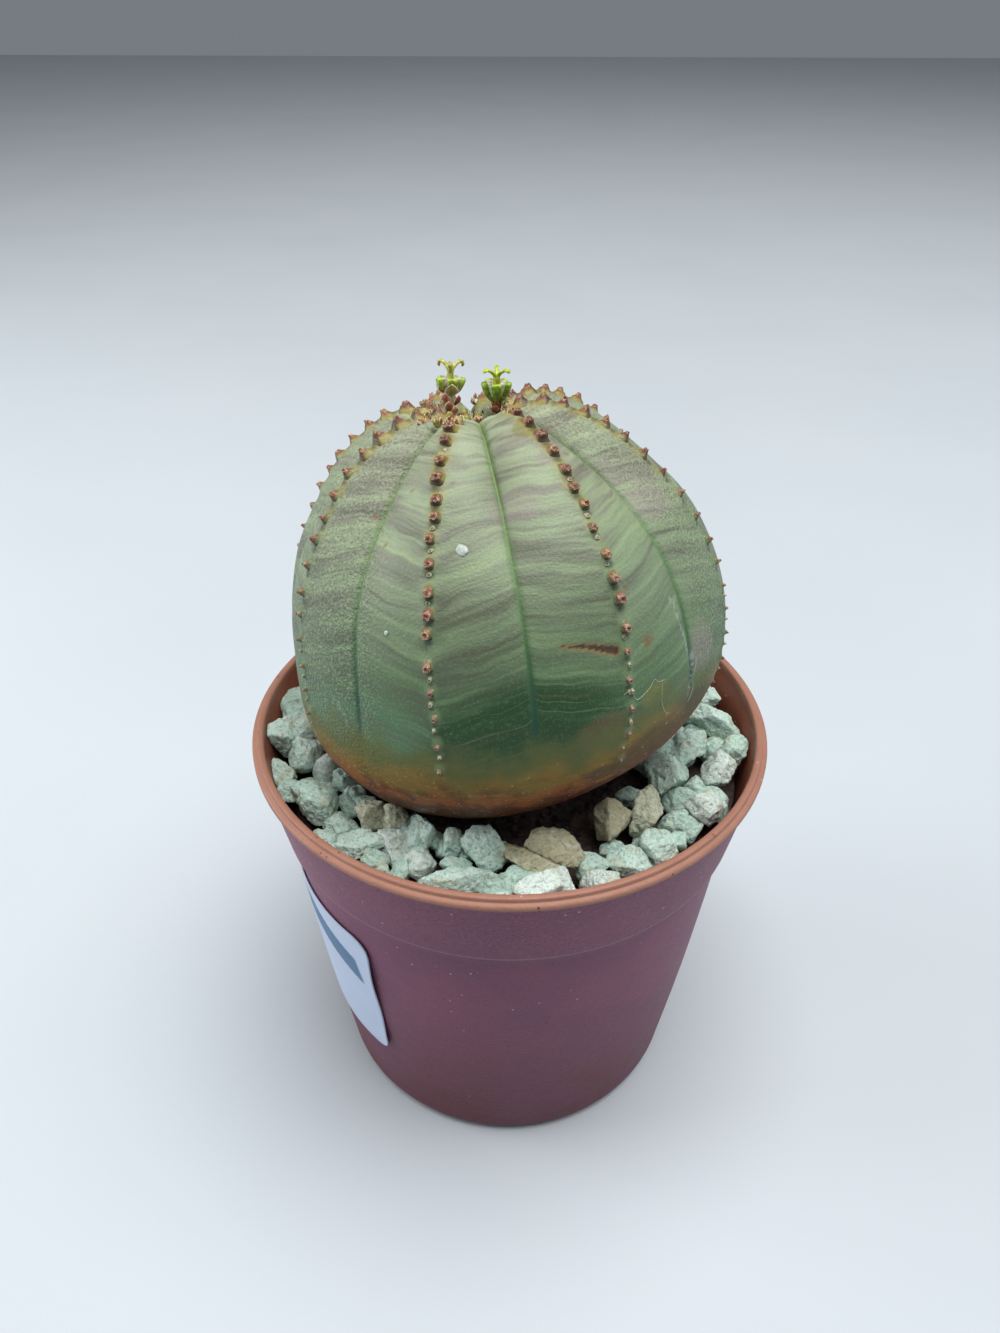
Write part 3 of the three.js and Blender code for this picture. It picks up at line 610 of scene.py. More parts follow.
def inside_radius(z):
    if z < COLLAR_FOOT_Z:
        return wall_radius(z) - WALL
    rise = min((z - COLLAR_FOOT_Z) / (LIP_FOOT_Z - COLLAR_FOOT_Z), 1)
    return mix(COLLAR_FOOT_RADIUS, COLLAR_TOP_RADIUS, rise) - WALL


POT_WOBBLE = 0.05
HOLE_COLUMNS = 32
# The lip from the collar's top, over its outer bead and groove, to the inner band.
LIP_OUTLINE = [
    (27.0, 46.6), (27.12, 46.78), (27.36, 46.84), (27.5, 47.0), (27.5, 47.28), (27.4, 47.46),
    (27.2, 47.54), (27.06, 47.56), (27.0, 47.6), (26.97, 47.72), (26.94, 47.9), (26.86, 47.98),
    (26.7, 48.0), (26.42, 47.99), (26.3, 47.93), (26.24, 47.78), (26.2, 47.4), (26.15, 46.6),
]


def foot_outline():
    """The pot's underside, from its axis over the foot ring to the wall's round lower edge."""
    foot = BASE_RADIUS - BASE_ROUND
    inner = foot - FOOT_WIDTH
    outline = [(0, FOOT_HEIGHT), (inner - FOOT_SLOPE - 0.15, FOOT_HEIGHT)]
    outline += [(inner - FOOT_SLOPE, FOOT_HEIGHT - 0.1), (inner - 0.1, 0.1), (inner + 0.1, 0)]
    for angle in np.radians(np.linspace(-90, -8, 9)):
        radius = foot + 0.29 + BASE_ROUND * math.cos(angle)
        outline.append((radius, BASE_ROUND + BASE_ROUND * math.sin(angle)))
    return outline


def collar_outline():
    """The step at the collar's foot, and the collar up to the lip."""
    neck = wall_radius(COLLAR_FOOT_Z)
    outline = [(neck + 0.04, COLLAR_FOOT_Z - 0.42), (neck + 0.2, COLLAR_FOOT_Z - 0.3)]
    outline += [(COLLAR_FOOT_RADIUS - 0.12, COLLAR_FOOT_Z - 0.12), (COLLAR_FOOT_RADIUS, COLLAR_FOOT_Z + 0.05)]
    for share in np.linspace(0.05, 0.97, 12):
        radius = mix(COLLAR_FOOT_RADIUS, COLLAR_TOP_RADIUS, share)
        outline.append((radius, mix(COLLAR_FOOT_Z, LIP_FOOT_Z, share)))
    return outline


def pot_outline():
    wall = [(wall_radius(z), z) for z in np.linspace(3, COLLAR_FOOT_Z - 0.6, 26)]
    inside = [*np.linspace(LIP_FOOT_Z - 0.6, COLLAR_FOOT_Z + 0.1, 10)]
    inside += [*np.linspace(COLLAR_FOOT_Z - 0.5, FLOOR_Z + 1.4, 20)]
    floor = [(inside_radius(FLOOR_Z) - 0.3, FLOOR_Z + 0.4), (inside_radius(FLOOR_Z) - 1, FLOOR_Z)]
    floor += [(14, FLOOR_Z), (DRAIN_RING_RADIUS - 4, FLOOR_Z), (0, FLOOR_Z)]
    inner_wall = [(inside_radius(z), z) for z in inside]
    return foot_outline() + wall + collar_outline() + LIP_OUTLINE + inner_wall + floor


def drain_hole_cutter():
    heap = Heap()
    top = FLOOR_Z + 2
    points, faces = turned([(0, -2), (DRAIN_RADIUS, -2), (DRAIN_RADIUS, top), (0, top)], HOLE_COLUMNS)
    for i in range(DRAIN_HOLES):
        heap.add(points + polar(DRAIN_RING_RADIUS, i * 360 / DRAIN_HOLES), faces)
    return link("drain_cutter", new_mesh("drain_cutter", np.concatenate(heap.points), heap.faces))


def apply_modifier(piece):
    """Turns the piece's modifiers into its mesh."""
    bpy.context.view_layer.update()
    evaluated = piece.evaluated_get(bpy.context.evaluated_depsgraph_get())
    mesh = bpy.data.meshes.new_from_object(evaluated)
    piece.modifiers.clear()
    piece.data = mesh


def pot_wall(place, z, mottle, rough):
    """Mottled plastic: the terracotta wall is painted plum as painted shade with a bluish cast, darker
    towards the foot, with a painted highlight along the edge of the collar's step.
    """
    # Painted shade: plum with a bluish cast on the terracotta plastic, darker towards the foot.
    wall = z.step(2, 30).blend("5c222d", "753e56")
    wall = wall.tint(place.noise(9, 3).step(0.4, 0.7) * 0.5, "623650")
    wall = wall.tint(mottle.step(0.54, 0.7) * rough, "966276")
    wall = wall.tint(mottle.step(0.46, 0.32) * rough, "421e2c")
    # Painted highlight: a pale line along the edge of the collar's step.
    step_highlight_foot = z.step(COLLAR_FOOT_Z - 0.12, COLLAR_FOOT_Z)
    step_highlight_top = z.step(COLLAR_FOOT_Z + 0.3, COLLAR_FOOT_Z + 0.12)
    return wall.tint(step_highlight_foot * step_highlight_top * 0.32, "a88696")


def pot_specks(colour, place, z, grain):
    """Moulding specks: fine dark grains, pits, dust and a few pale scuffs."""
    colour = colour.tint(grain.step(0.66, 0.74) * 0.35, "4e2c32")
    pits = place.cells(1.05).step(0.13, 0.08)
    pitted = place.noise(1.6, 2).step(0.5, 0.6) * z.step(26, 42)
    colour = colour.tint(pits * pitted * 0.75, "2e161e")
    colour = colour.tint(place.cells(2.4).step(0.07, 0.045) * 0.8, "3a2024")
    dust = place.moved((3.1, 5.7, 2.3)).cells(2.0).step(0.07, 0.045)
    colour = colour.tint(dust * z.step(10, 40) * 0.7, "c8b0b6")
    scuffs = place.scaled((1.0, 1.0, 0.45)).noise(0.5, 3).step(0.735, 0.78)
    patches = place.noise(5, 2).step(0.52, 0.62)
    return colour.tint(scuffs * patches * 0.4, "c4a09e")


def pot_material():
    shader = Shader("pot_plastic", specular=0.32)
    place = shader.place()
    z = place.part(2)
    flat = shader.joined(place.part(0), place.part(1), 0.0)
    radius = shader.made("VectorMath", {0: flat}, "Value", operation="LENGTH")
    mottle = place.noise(0.32, 3, 0.6)
    rough = shader.mixed(z.step(COLLAR_FOOT_Z - 0.3, COLLAR_FOOT_Z + 0.3), 0.14, 0.34)
    wall = pot_wall(place, z, mottle, rough)
    lip = place.noise(3, 3).blend("9c7160", "8c5e4d")
    ragged = z + (place.noise(0.35, 3) - 0.5) * 0.36
    outside = ragged.step(LIP_FOOT_Z + 0.2, LIP_FOOT_Z + 0.42).blend(wall, lip)
    # Painted shade: the inside of the wall darker further down below the lip.
    inside = z.step(40, 47).blend("60342a", "965642")
    under_lip = z.step(LIP_FOOT_Z + 0.75, LIP_FOOT_Z + 0.45)
    is_inside = (radius - z * 0.18).step(17.95, 17.8) * under_lip
    grain = place.noise(0.22, 2)
    shader.set("Base Color", pot_specks(is_inside.blend(outside, inside), place, z, grain))
    shader.set("Roughness", grain * 0.18 + 0.4)
    relief = shader.bump(grain, 0.02)
    relief = shader.bump(mottle * rough, 0.16, relief)
    shader.bump(place.noise(1.6, 3), 0.05, relief)
    return shader.material


def add_pot():
    points, faces = turned(pot_outline(), POT_COLUMNS)
    wobble = POT_WOBBLE * noise_at(points, 14, 3) * ease(points[:, 2], 2, 20)
    points[:, :2] *= (1 + wobble / RIM_RADIUS)[:, None] * (1 - POT_WOBBLE / RIM_RADIUS)
    pot = build("pot_shell", points, faces, pot_material(), "pot")
    cutter = drain_hole_cutter()
    cut = pot.modifiers.new("drain_holes", "BOOLEAN")
    cut.operation = "DIFFERENCE"
    cut.solver = "EXACT"
    cut.object = cutter
    apply_modifier(pot)
    bpy.data.objects.remove(cutter)


# ---- stem surface


def spline(points, along):
    """The uniform Catmull-Rom curve through the points, from 0 at the first to 1 at the last."""
    last = len(points) - 1
    place = np.clip(np.atleast_1d(along) * last, 0, last)
    step = np.minimum(place.astype(int), last - 1)
    share = (place - step)[:, None]
    before = points[np.maximum(step - 1, 0)]
    here = points[step]
    after = points[step + 1]
    beyond = points[np.minimum(step + 2, last)]
    leaving = (after - before) / 2
    arriving = (beyond - here) / 2
    cubic = 2 * here - 2 * after + leaving + arriving
    square = -3 * here + 3 * after - 2 * leaving - arriving
    return cubic * share**3 + square * share**2 + leaving * share + here


CURVE_STEPS = 200
curve_shares = np.linspace(0, 1, CURVE_STEPS + 1)
curve_points = spline(STEM_OUTLINE, curve_shares)
curve_steps = np.hypot(*np.diff(curve_points, axis=0).T)
curve_lengths = np.concatenate([[0], np.cumsum(curve_steps)])
STEM_LENGTH = curve_lengths[-1]


def along_at(distance):
    """The share of the outline at a distance along the crest from the crown."""
    return np.interp(distance, curve_lengths, curve_shares)


def stem_axes():
    axis = np.array([-math.sin(math.radians(LEAN_LEFT)), math.sin(math.radians(LEAN_BACK)), 0])
    axis[2] = math.sqrt(1 - axis @ axis)
    side = unit(np.cross([0, 1, 0], axis))
    return np.array([side, np.cross(axis, side), axis])


STEM_AXES = stem_axes()


def groove_depth(angle):
    shoulder = (angle - GROOVE_DEPTH_ANGLE) / GROOVE_DEPTH_SPREAD
    low = ease(angle, *LOW_GROOVE_START) * (1 - ease(angle, *LOW_GROOVE_END))
    return ease(angle, 0, GROOVE_START) * (GROOVE_DEPTH * np.exp(-shoulder**2) + LOW_GROOVE_DEPTH * low)


def groove_shape(fraction):
    across = 2 * np.minimum(fraction, 1 - fraction)
    return CREST_SLOPE * across + (1 - CREST_SLOPE) * across**3


def stem_points(azimuth, fraction, distance, grow=0.0):
    """Points of the stem. azimuth is in degrees, and fraction is the place between two crests."""
    azimuth, fraction, distance, grow = np.broadcast_arrays(azimuth, fraction, distance, grow)
    flat = spline(STEM_OUTLINE, along_at(distance.ravel()))
    radius = flat[:, 0].reshape(distance.shape)
    height = flat[:, 1].reshape(distance.shape)
    reach = np.hypot(radius, height)
    angle = np.degrees(np.arctan2(radius, height))
    scale = (reach - groove_shape(fraction) * groove_depth(angle) + grow) / reach
    z = height * scale
    drift = np.where(z[..., None] > 0, CROWN_DRIFT, BASE_DRIFT)
    bend = (np.minimum(np.abs(z), LONGEST_DRIFT) / DRIFT_SPAN) ** 2
    x = radius * scale * np.cos(np.radians(azimuth)) + drift[..., 0] * bend
    y = radius * scale * np.sin(np.radians(azimuth)) + drift[..., 1] * bend
    return STEM_CENTRE + np.stack([x, y, z], axis=-1) @ STEM_AXES


def stem_radius(distance):
    return spline(STEM_OUTLINE, along_at(distance))[:, 0]


class Place:
    """A spot on a crest with its outward, downward and sideways directions."""

    def __init__(self, azimuth, distance, fraction=0.0):
        here = float(along_at(distance))
        near = np.interp(here + 0.01, curve_shares, curve_lengths)
        self.azimuth = azimuth
        self.distance = distance
        self.point = stem_points(azimuth, fraction, distance)
        self.down = unit(stem_points(azimuth, fraction, near) - self.point)
        step = 1.0
        left = stem_points(azimuth - step, fraction, distance)
        right = stem_points(azimuth + step, fraction, distance)
        self.sideways = unit(right - left)
        self.outward = unit(np.cross(self.down, self.sideways))


# ---- teeth


def flower_foot(flower):
    place = Place(flower["azimuth"], flower["out"])
    return place.point - place.outward * FLOWER_SINK


FLOWER_FEET = [flower_foot(flower) for flower in FLOWERS.values()]


def is_free(point):
    return all(np.linalg.norm(foot - point) > FLOWER_ROOM for foot in FLOWER_FEET)


def crest_sway(row, distance):
    """Degrees beside the crest at which a front crest's tooth stands."""
    return row["sway"] * max(1 - distance / row["sway_end"], 0)


def tooth_places(rib, stray):
    """Distance, size and degrees beside the crest of each tooth of a rib."""
    if rib in FRONT_TEETH:
        row = FRONT_TEETH[rib]
        sizes = [(distance, 1) for distance in row["large"]]
        sizes += [(distance, SMALL_TOOTH) for distance in row["small"]]
        return [(distance, size, crest_sway(row, distance)) for distance, size in sizes]
    places = []
    distance = stray(TOOTH_START, TOOTH_STRAY["start"])
    while distance < TOOTH_END:
        spacing = mix(*TOOTH_SPACING, distance / TOOTH_END) * stray(1, TOOTH_STRAY["spacing"])
        places.append((distance, 1, 0))
        if distance > SMALL_TEETH_FROM:
            places.append((distance + SMALL_TOOTH_PLACE * spacing, SMALL_TOOTH, 0))
        distance += spacing
    return places


def tooth_list():
    """Place, width, height, facing and size of each tooth, drawn as the solids' teeth are."""
    draw = seeded_draw(SEEDS["teeth"])
    teeth = []

    def stray(middle, spread):
        return draw(middle - spread, middle + spread)

    for rib, crest in enumerate(RIB_AZIMUTHS):
        for distance, size, beside in tooth_places(rib, stray):
            grown = stray(size, TOOTH_STRAY["size"])
            place = Place(stray(crest + beside, TOOTH_STRAY["azimuth"]), distance)
            width = mix(*TOOTH_WIDTH, distance / TOOTH_END) * grown
            height = mix(*TOOTH_HEIGHT, distance / TOOTH_END) * grown
            if is_free(place.point):
                teeth.append((place, width, height, draw(*TOOTH_STRAY["turn"]), size))
    return teeth


TEETH = tooth_list()
# A tooth's rings from its sunk foot to the pit on its knob: how far each reaches towards the crown,
# away from it and sideways, and its height, as shares of the tooth's width and height.
TOOTH_RINGS = np.array([
    (1.1, 0.66, 0.68, -0.7), (0.86, 0.54, 0.52, -0.12), (0.66, 0.48, 0.43, 0.14),
    (0.48, 0.45, 0.37, 0.38), (0.33, 0.44, 0.33, 0.6), (0.2, 0.45, 0.31, 0.8), (0.09, 0.46, 0.28, 0.96),
    (0.0, 0.43, 0.23, 1.04), (-0.06, 0.37, 0.17, 1.01), (-0.11, 0.31, 0.11, 0.9),
    (-0.15, 0.26, 0.05, 0.84),
])
TOOTH_SIZE = (1.04, 0.56)  # the knob's width against the solid's, at the crown and at the foot
PIT_FIRST_RING = 8
FRONT_AZIMUTHS = (240, 320)  # the teeth of the front crests end in knobs, and the others in points
POINT_SHAPE = (1.02, 0.54)  # a pointed tooth's width against a knob's, at its foot and its top
POINT_HEIGHT = 1.08
FIRST_TOOTH_REACH = 8.0
FIRST_TOOTH = 0.74
BROAD_TEETH = (23.5, 30.5)  # where the teeth of the front crests are broader again
BROAD_TOOTH = 1.34
SQUARENESS = 3.2  # the power of the teeth's squarish rings
CRUMPLE = (0.12, 0.07)  # coarse and fine, against the tooth's width
KIND_STEP = 0.618  # between the kinds of tone, from 0 to 1, of one tooth and the next


def shown_size(place, width, height, size):
    """A tooth's width at its rings and its height, as they look in the picture."""
    scale = width * mix(*TOOTH_SIZE, place.distance / TOOTH_END)
    if not FRONT_AZIMUTHS[0] < place.azimuth < FRONT_AZIMUTHS[1]:
        return scale * mix(*POINT_SHAPE, ease(TOOTH_RINGS[:, 3:], 0, 1)), height * POINT_HEIGHT
    growth = 1
    if place.distance < FIRST_TOOTH_REACH:
        growth = FIRST_TOOTH
    elif size == 1 and BROAD_TEETH[0] < place.distance < BROAD_TEETH[1]:
        growth = BROAD_TOOTH
    return scale * growth, height * growth


def add_tooth(heap, place, width, height, facing, size, seed):
    axis = unit(place.outward - TOOTH_TILT * place.down)
    side = unit(np.cross(place.down, axis))
    ahead = np.cross(axis, side)
    angles = circle(TOOTH_COLUMNS)
    corners = angles + (facing - math.pi / 4)
    square = np.abs(np.cos(corners)) ** SQUARENESS + np.abs(np.sin(corners)) ** SQUARENESS
    square = square ** (-1 / SQUARENESS)
    uphill, downhill, sideways, level = (TOOTH_RINGS[:, i : i + 1] for i in range(4))
    scale, height = shown_size(place, width, height, size)
    along = ((downhill - uphill) / 2 + (downhill + uphill) / 2 * np.sin(angles) * square) * scale
    across = sideways * np.cos(angles) * square * scale
    rings = place.point + across[..., None] * side + along[..., None] * ahead
    rings = rings + (level * height)[..., None] * axis
    flat = rings.reshape(-1, 3)
    crumple = CRUMPLE[0] * noise_at(flat, 0.45, seed) + CRUMPLE[1] * noise_at(flat, 0.18, seed + 1)
    crumple = crumple.reshape(across.shape) * width * ease(level, -0.3, 0.8)
    rings = rings + crumple[..., None] * axis + 0.6 * crumple[::-1][..., None] * side
    points, faces = capped_grid(rings, place.point - axis * 0.5, rings[-1].mean(axis=0))
    ring = np.arange(len(level))[:, None]
    steep = np.maximum(np.sin(angles), 0) * (ring < PIT_FIRST_RING - 1)
    pit = np.repeat(ring >= PIT_FIRST_RING, TOOTH_COLUMNS)
    heap.add(
        points,
        faces,
        tip=np.append(np.repeat(level.ravel(), TOOTH_COLUMNS), (-1, 0.8)),
        under=np.append(steep, (0, 0)),
        pit=np.append(pit, (0, 1)),
        age=place.distance / TOOTH_END,
        kind=(seed * KIND_STEP) % 1,
        small=float(size < 1),
    )


# Shares of the pale glints on a tooth, by the tooth's age.
GLINT_STRENGTH = [(0.0, 0.5), (0.4, 0.75), (0.8, 0.3)]


def tooth_material():
    shader = Shader("tooth_skin", roughness=0.4, specular=0.5)
    place = shader.place()
    tip = shader.value("tip")
    age = shader.value("age")
    kind = shader.value("kind")
    cloud = place.noise(0.34, 3)
    fine = place.noise(0.14, 2)
    skirt = age.step(0.2, 0.5).blend("8a7e3a", "62764e")
    brown = kind.blend("6e3c28", "845632")
    tan = kind.blend("7e5644", "846a4c")
    top = age.step(0.35, 0.75).blend(brown, tan)
    pale = kind.blend("d6ac90", "d8be92")
    glint = fine.step(0.48, 0.6) * tip.step(0.5, 0.95) * age.ramp(GLINT_STRENGTH)
    top = top.tint(glint, pale)
    top = top.tint(cloud.step(0.48, 0.36) * 0.7, "48221c")
    top = top.tint(shader.value("small") * 0.8, "a8a886")
    strayed = tip + (cloud - 0.5) * 0.5
    colour = strayed.step(0.34, 0.6).blend(skirt, top)
    # Painted shade: the tooth's lower faces darkened, partly their own dark brown.
    shade = age.step(0.35, 0.7).blend("28120e", "22301e")
    under = shader.value("under").step(0.35, 0.75) * tip.step(1.0, 0.7)
    colour = colour.tint(under * 0.72, shade)
    # The pit darkened: partly its own dark colour, partly painted shade in its hollow.
    pit = age.blend("3e1a18", "603e30")
    colour = colour.tint(shader.value("pit") * 0.75, pit)
    shader.set("Base Color", colour)
    shader.bump(fine, 0.06)
    return shader.material


# Round scars that a fallen flower leaves between two teeth: rib and distance from the crown.
FLOWER_SCARS = [
    (5, 11.1), (5, 18.6), (5, 20.5), (5, 22.5), (5, 24.8),
    (6, 16.0), (6, 19.45), (6, 21.4), (6, 23.7), (6, 29.85), (6, 34.7),
]
SCAR_SIZE = (0.78, 0.2)


def add_teeth():
    heap = Heap()
    for i, tooth in enumerate(TEETH):
        add_tooth(heap, *tooth, i)
    for i, (rib, distance) in enumerate(FLOWER_SCARS):
        place = Place(RIB_AZIMUTHS[rib] + crest_sway(FRONT_TEETH[rib], distance), distance)
        add_tooth(heap, place, *SCAR_SIZE, 0.8, SMALL_TOOTH, len(TEETH) + i)
    heap.build("plant_teeth", tooth_material(), "plant_body", "plant_skin")


# ---- stem skin

# Marks on the skin: azimuth about the stem's axis and distance from the crown, with the radius of
# each dot. The scar and the scratches run along their places.
RUST_DOTS = [
    (309.5, 13.2, 0.22), (316, 16, 0.12), (303, 26, 0.2), (306, 31, 0.45), (246, 15, 0.16),
    (224, 19, 0.14), (262, 14.5, 0.14), (231, 17.5, 0.22), (240, 20, 0.16),
]
SCAR = [(284.5, 29.4), (290, 29.8), (297.5, 30.8)]
SCAR_WIDTH = (0.12, 0.62)
SCRATCHES = [
    [(317, 28.5), (318.5, 31), (320, 34)],
    [(321.5, 34.5), (321.3, 36.5), (320.4, 38.6)],
]
SCRATCH_WIDTH = (0.1, 0.32)
LINE_RADIUS = 20.0  # of the stem, about where the scar and the scratches are

# How far from the crown the cork starts, by azimuth.
CORK_EDGE = (
    (0, 180, 222, 240, 262, 290, 301, 309, 325, 360),
    (39, 38.5, 40, 40.6, 41.2, 40.8, 39.8, 39, 40, 39),
)
CORK_START = 41.0
# The skin that faces the front is smoother than the rest, and shows less painted mottling of highlights and
# shade.
SMOOTH_AZIMUTH = 282
SMOOTH_REACH = (38, 50)

# Soft patches of colour: azimuth, distance from the crown, half width and half length.
PATCHES = {
    # Painted light: a brighter patch in the groove's valley near the crown.
    "bright": [(271, 9.5, 2.4, 4.5)],
    # A dark green patch low at the front: partly the skin's own dark green, partly painted shade.
    "dark_green_and_shade": [(277, 37, 12, 7), (262, 38, 5, 6)],
    "lagoon": [(238, 37.5, 7, 5), (221, 37.5, 9, 5.5), (205, 36, 6, 5)],
    "brownish": [(294, 38, 3.6, 2.6), (303, 39, 3, 2)],
    # Painted shade: dark patches low on the right, towards the foot.
    "painted_foot_shade": [(312, 42, 7, 3.6), (326, 41, 6, 4), (298, 43.5, 4, 2)],
    "mauve": [(325.6, 34.5, 3.4, 4), (303, 13, 2.6, 2.8), (329, 20, 4, 3), (281, 17, 3.5, 2)],
    "stain": [(307, 36, 2.4, 1.7), (299, 9.5, 1.6, 1.5)],
}
MOUND = 0.42  # how far the skin rises round a tooth, against the tooth's height
MOUND_REACH = (3, 4)  # above and below the tooth
MOUND_SLOPE = (0.75, 1.25)  # how steep the mound is above and below the tooth
# Soft spots round a tooth: half width, how far below it their middle is, and half length, all
# against the tooth's width.
MOUND_SPOT = (0.62, 0, 0.62)
HALO_SPOT = (0.6, -0.25, 0.9)
SHADE_SPOT = (0.42, 0.62, 0.26)
COLUMN_CROWDING = 0.55  # of the grid's columns towards the crests and grooves
HIDDEN_ROW_STEP = 1.2
SCAR_DEPTH = 0.12
UNEVENNESS = 0.16
WRINKLE = 0.07
ROOT_COLUMNS = 40
SKIN_SPAN = 50.0


def face_distance(azimuth, distance, target_azimuth, target_distance):
    """Distance over the skin between points and one place, in millimetres."""
    turn = turn_from(azimuth, target_azimuth)
    return np.hypot(np.radians(turn) * stem_radius(distance), distance - target_distance)


def line_distance(azimuth, distance, line):
    """Distance over the skin to a line of places, and the share of the line's length there."""
    nearest = np.full(azimuth.shape, 1e3)
    share = np.zeros(azimuth.shape)
    radius = stem_radius(distance)
    for i, (start, end) in enumerate(zip(line, line[1:])):
        x = np.radians(turn_from(azimuth, start[0])) * radius
        y = distance - start[1]
        reach = math.radians(end[0] - start[0]) * LINE_RADIUS
        drop = end[1] - start[1]
        along = np.clip((x * reach + y * drop) / (reach**2 + drop**2), 0, 1)
        away = np.hypot(x - along * reach, y - along * drop)
        closer = away < nearest
        nearest = np.where(closer, away, nearest)
        share = np.where(closer, (i + along) / (len(line) - 1), share)
    return nearest, share


def stem_grid():
    """Azimuth, fraction and distance of the skin's grid points, row by row from the crown."""
    steps = np.arange(STEM_COLUMNS_A_FACE) / STEM_COLUMNS_A_FACE
    fractions = steps - COLUMN_CROWDING * np.sin(4 * math.pi * steps) / (4 * math.pi)
    spans = (np.roll(RIB_AZIMUTHS, -1) - RIB_AZIMUTHS) % 360
    azimuths = (RIB_AZIMUTHS[:, None] + spans[:, None] * fractions).ravel()
    shown = np.arange(STEM_ROW_STEP, STEM_SHOWN_LENGTH, STEM_ROW_STEP)
    hidden = np.arange(STEM_SHOWN_LENGTH, STEM_LENGTH - 0.5, HIDDEN_ROW_STEP)
    distances = np.concatenate([shown, hidden])
    shape = (len(distances), len(azimuths))
    azimuth = np.broadcast_to(azimuths, shape)
    fraction = np.broadcast_to(np.tile(fractions, len(RIB_AZIMUTHS)), shape)
    span = np.broadcast_to(np.repeat(spans, STEM_COLUMNS_A_FACE), shape)
    distance = np.broadcast_to(distances[:, None], shape)
    return azimuth, fraction, span, distance


def spot(x, y, half_width, below, half_length):
    """1 in the middle of a soft spot, falling to 0 round it."""
    return np.exp(-((x / half_width) ** 2) - ((y - below) / half_length) ** 2)


def tooth_mounds(azimuth, distance):
    """How far the skin swells round the teeth, their halo, and the painted shade below each."""
    swell, halo, shade = (np.zeros(azimuth.shape) for _ in range(3))
    for place, width, height, _, size in TEETH:
        first = max(int((place.distance - MOUND_REACH[0]) / STEM_ROW_STEP), 0)
        rows = slice(first, int((place.distance + MOUND_REACH[1]) / STEM_ROW_STEP))
        turn = turn_from(azimuth[rows], place.azimuth)
        x = np.radians(turn) * stem_radius(distance[rows][:, 0])[:, None] / width
        y = (distance[rows] - place.distance) / width
        swell[rows] += MOUND * height * spot(x, y * np.where(y < 0, *MOUND_SLOPE), *MOUND_SPOT)
        halo[rows] = np.maximum(halo[rows], size * spot(x, y, *HALO_SPOT))
        shade[rows] = np.maximum(shade[rows], spot(x, y, *SHADE_SPOT))
    return swell, halo, shade


def mark_masks(azimuth, distance):
    """Rust dots, the scar and the scratches, each from 0 to 1."""
    rust, scratch = (np.zeros(azimuth.shape) for _ in range(2))
    for dot_azimuth, dot_distance, radius in RUST_DOTS:
        away = face_distance(azimuth, distance, dot_azimuth, dot_distance)
        rust = np.maximum(rust, 1 - ease(away, radius * 0.6, radius * 1.5))
    for line in SCRATCHES:
        away, _ = line_distance(azimuth, distance, line)
        scratch = np.maximum(scratch, 1 - ease(away, *SCRATCH_WIDTH))
    away, share = line_distance(azimuth, distance, SCAR)
    width = mix(*SCAR_WIDTH, share)
    return {"rust": rust, "scar": 1 - ease(away, width * 0.45, width), "scratch": scratch}


def band_places(azimuth, fraction, distance):
    """Where each point lies in the noise that makes the bands, which run round the stem."""
    turn = np.radians(azimuth)
    level = (azimuth > LEVEL_AZIMUTHS[0]) & (azimuth < LEVEL_AZIMUTHS[1])
    rise = np.where(level, LEVEL_CHEVRON, CHEVRON) * (2 * np.minimum(fraction, 1 - fraction))
    return np.stack([np.cos(turn) * 10, np.sin(turn) * 10, distance + rise], axis=-1)


def stem_values(azimuth, fraction, span, distance):
    """What the skin's shape and colours are worked out from, for each point."""
    flat = (azimuth.ravel(), distance.ravel())
    radius = stem_radius(flat[1]).reshape(distance.shape)
    groove = np.abs(fraction - 0.5) * (np.radians(span) * radius)
    swell, halo, shade = tooth_mounds(azimuth, distance)
    values = {
        "skin": band_places(azimuth, fraction, distance).reshape(-1, 3),
        "down": flat[1],
        "groove": groove.ravel(),
        "half": ease(fraction, 0.49, 0.51).ravel(),
        "halo": halo.ravel(),
        "shade": shade.ravel(),
        "low": flat[1] - np.interp(flat[0], *CORK_EDGE),
        "grain": mix(0.22, 1, ease(np.abs(flat[0] - SMOOTH_AZIMUTH), *SMOOTH_REACH)),
        **mark_masks(*flat),
    }
    for name, patches in PATCHES.items():
        values[name] = patch_mask(*flat, patches)
    return swell, groove, values


def patch_mask(azimuth, distance, patches):
    """From 0 to 1 inside soft-edged patches of (azimuth, distance, half width, half length)."""
    mask = np.zeros(azimuth.shape)
    radius = stem_radius(distance)
    for at_azimuth, at_distance, half_width, half_length in patches:
        x = np.radians(turn_from(azimuth, at_azimuth)) * radius / half_width
        y = (distance - at_distance) / half_length
        mask = np.maximum(mask, 1 - ease(np.hypot(x, y), 0.35, 1.0))
    return mask


def with_ends(value, rows):
    """Values of the stem's points in the order of its mesh, with one for each end."""
    by_row = value.reshape(rows, -1, *value.shape[1:])[::-1]
    ends = np.stack([by_row[0].mean(axis=0), by_row[-1].mean(axis=0)])
    return np.concatenate([by_row.reshape(value.shape), ends])


def add_stem():
    azimuth, fraction, span, distance = stem_grid()
    swell, groove, values = stem_values(azimuth, fraction, span, distance)
    crease = ease(distance, 2, 6) * (1 - ease(distance, *CREASE_END))
    grow = swell - CREASE_DEPTH * crease * np.exp(-((groove / CREASE_WIDTH) ** 2))
    grow = grow - SCAR_DEPTH * values["scar"].reshape(grow.shape)
    flat = stem_points(azimuth, fraction, distance).reshape(-1, 3)
    grow = grow + UNEVENNESS * noise_at(flat, 6.5, 2).reshape(grow.shape)
    cork = ease(distance, CORK_START, CORK_START + 4)
    grow = grow + WRINKLE * cork * noise_at(flat * (1, 1, 3.2), 1.6, 5).reshape(grow.shape)
    rings = stem_points(azimuth, fraction, distance, grow)[::-1]
    crown, foot = (stem_points(0.0, 0.0, end) for end in (0.0, STEM_LENGTH))
    points, faces = capped_grid(rings, foot, crown)
    values = {name: with_ends(value, len(rings)) for name, value in values.items()}
    build("plant_stem", points, faces, skin_material(), "plant_body", values)


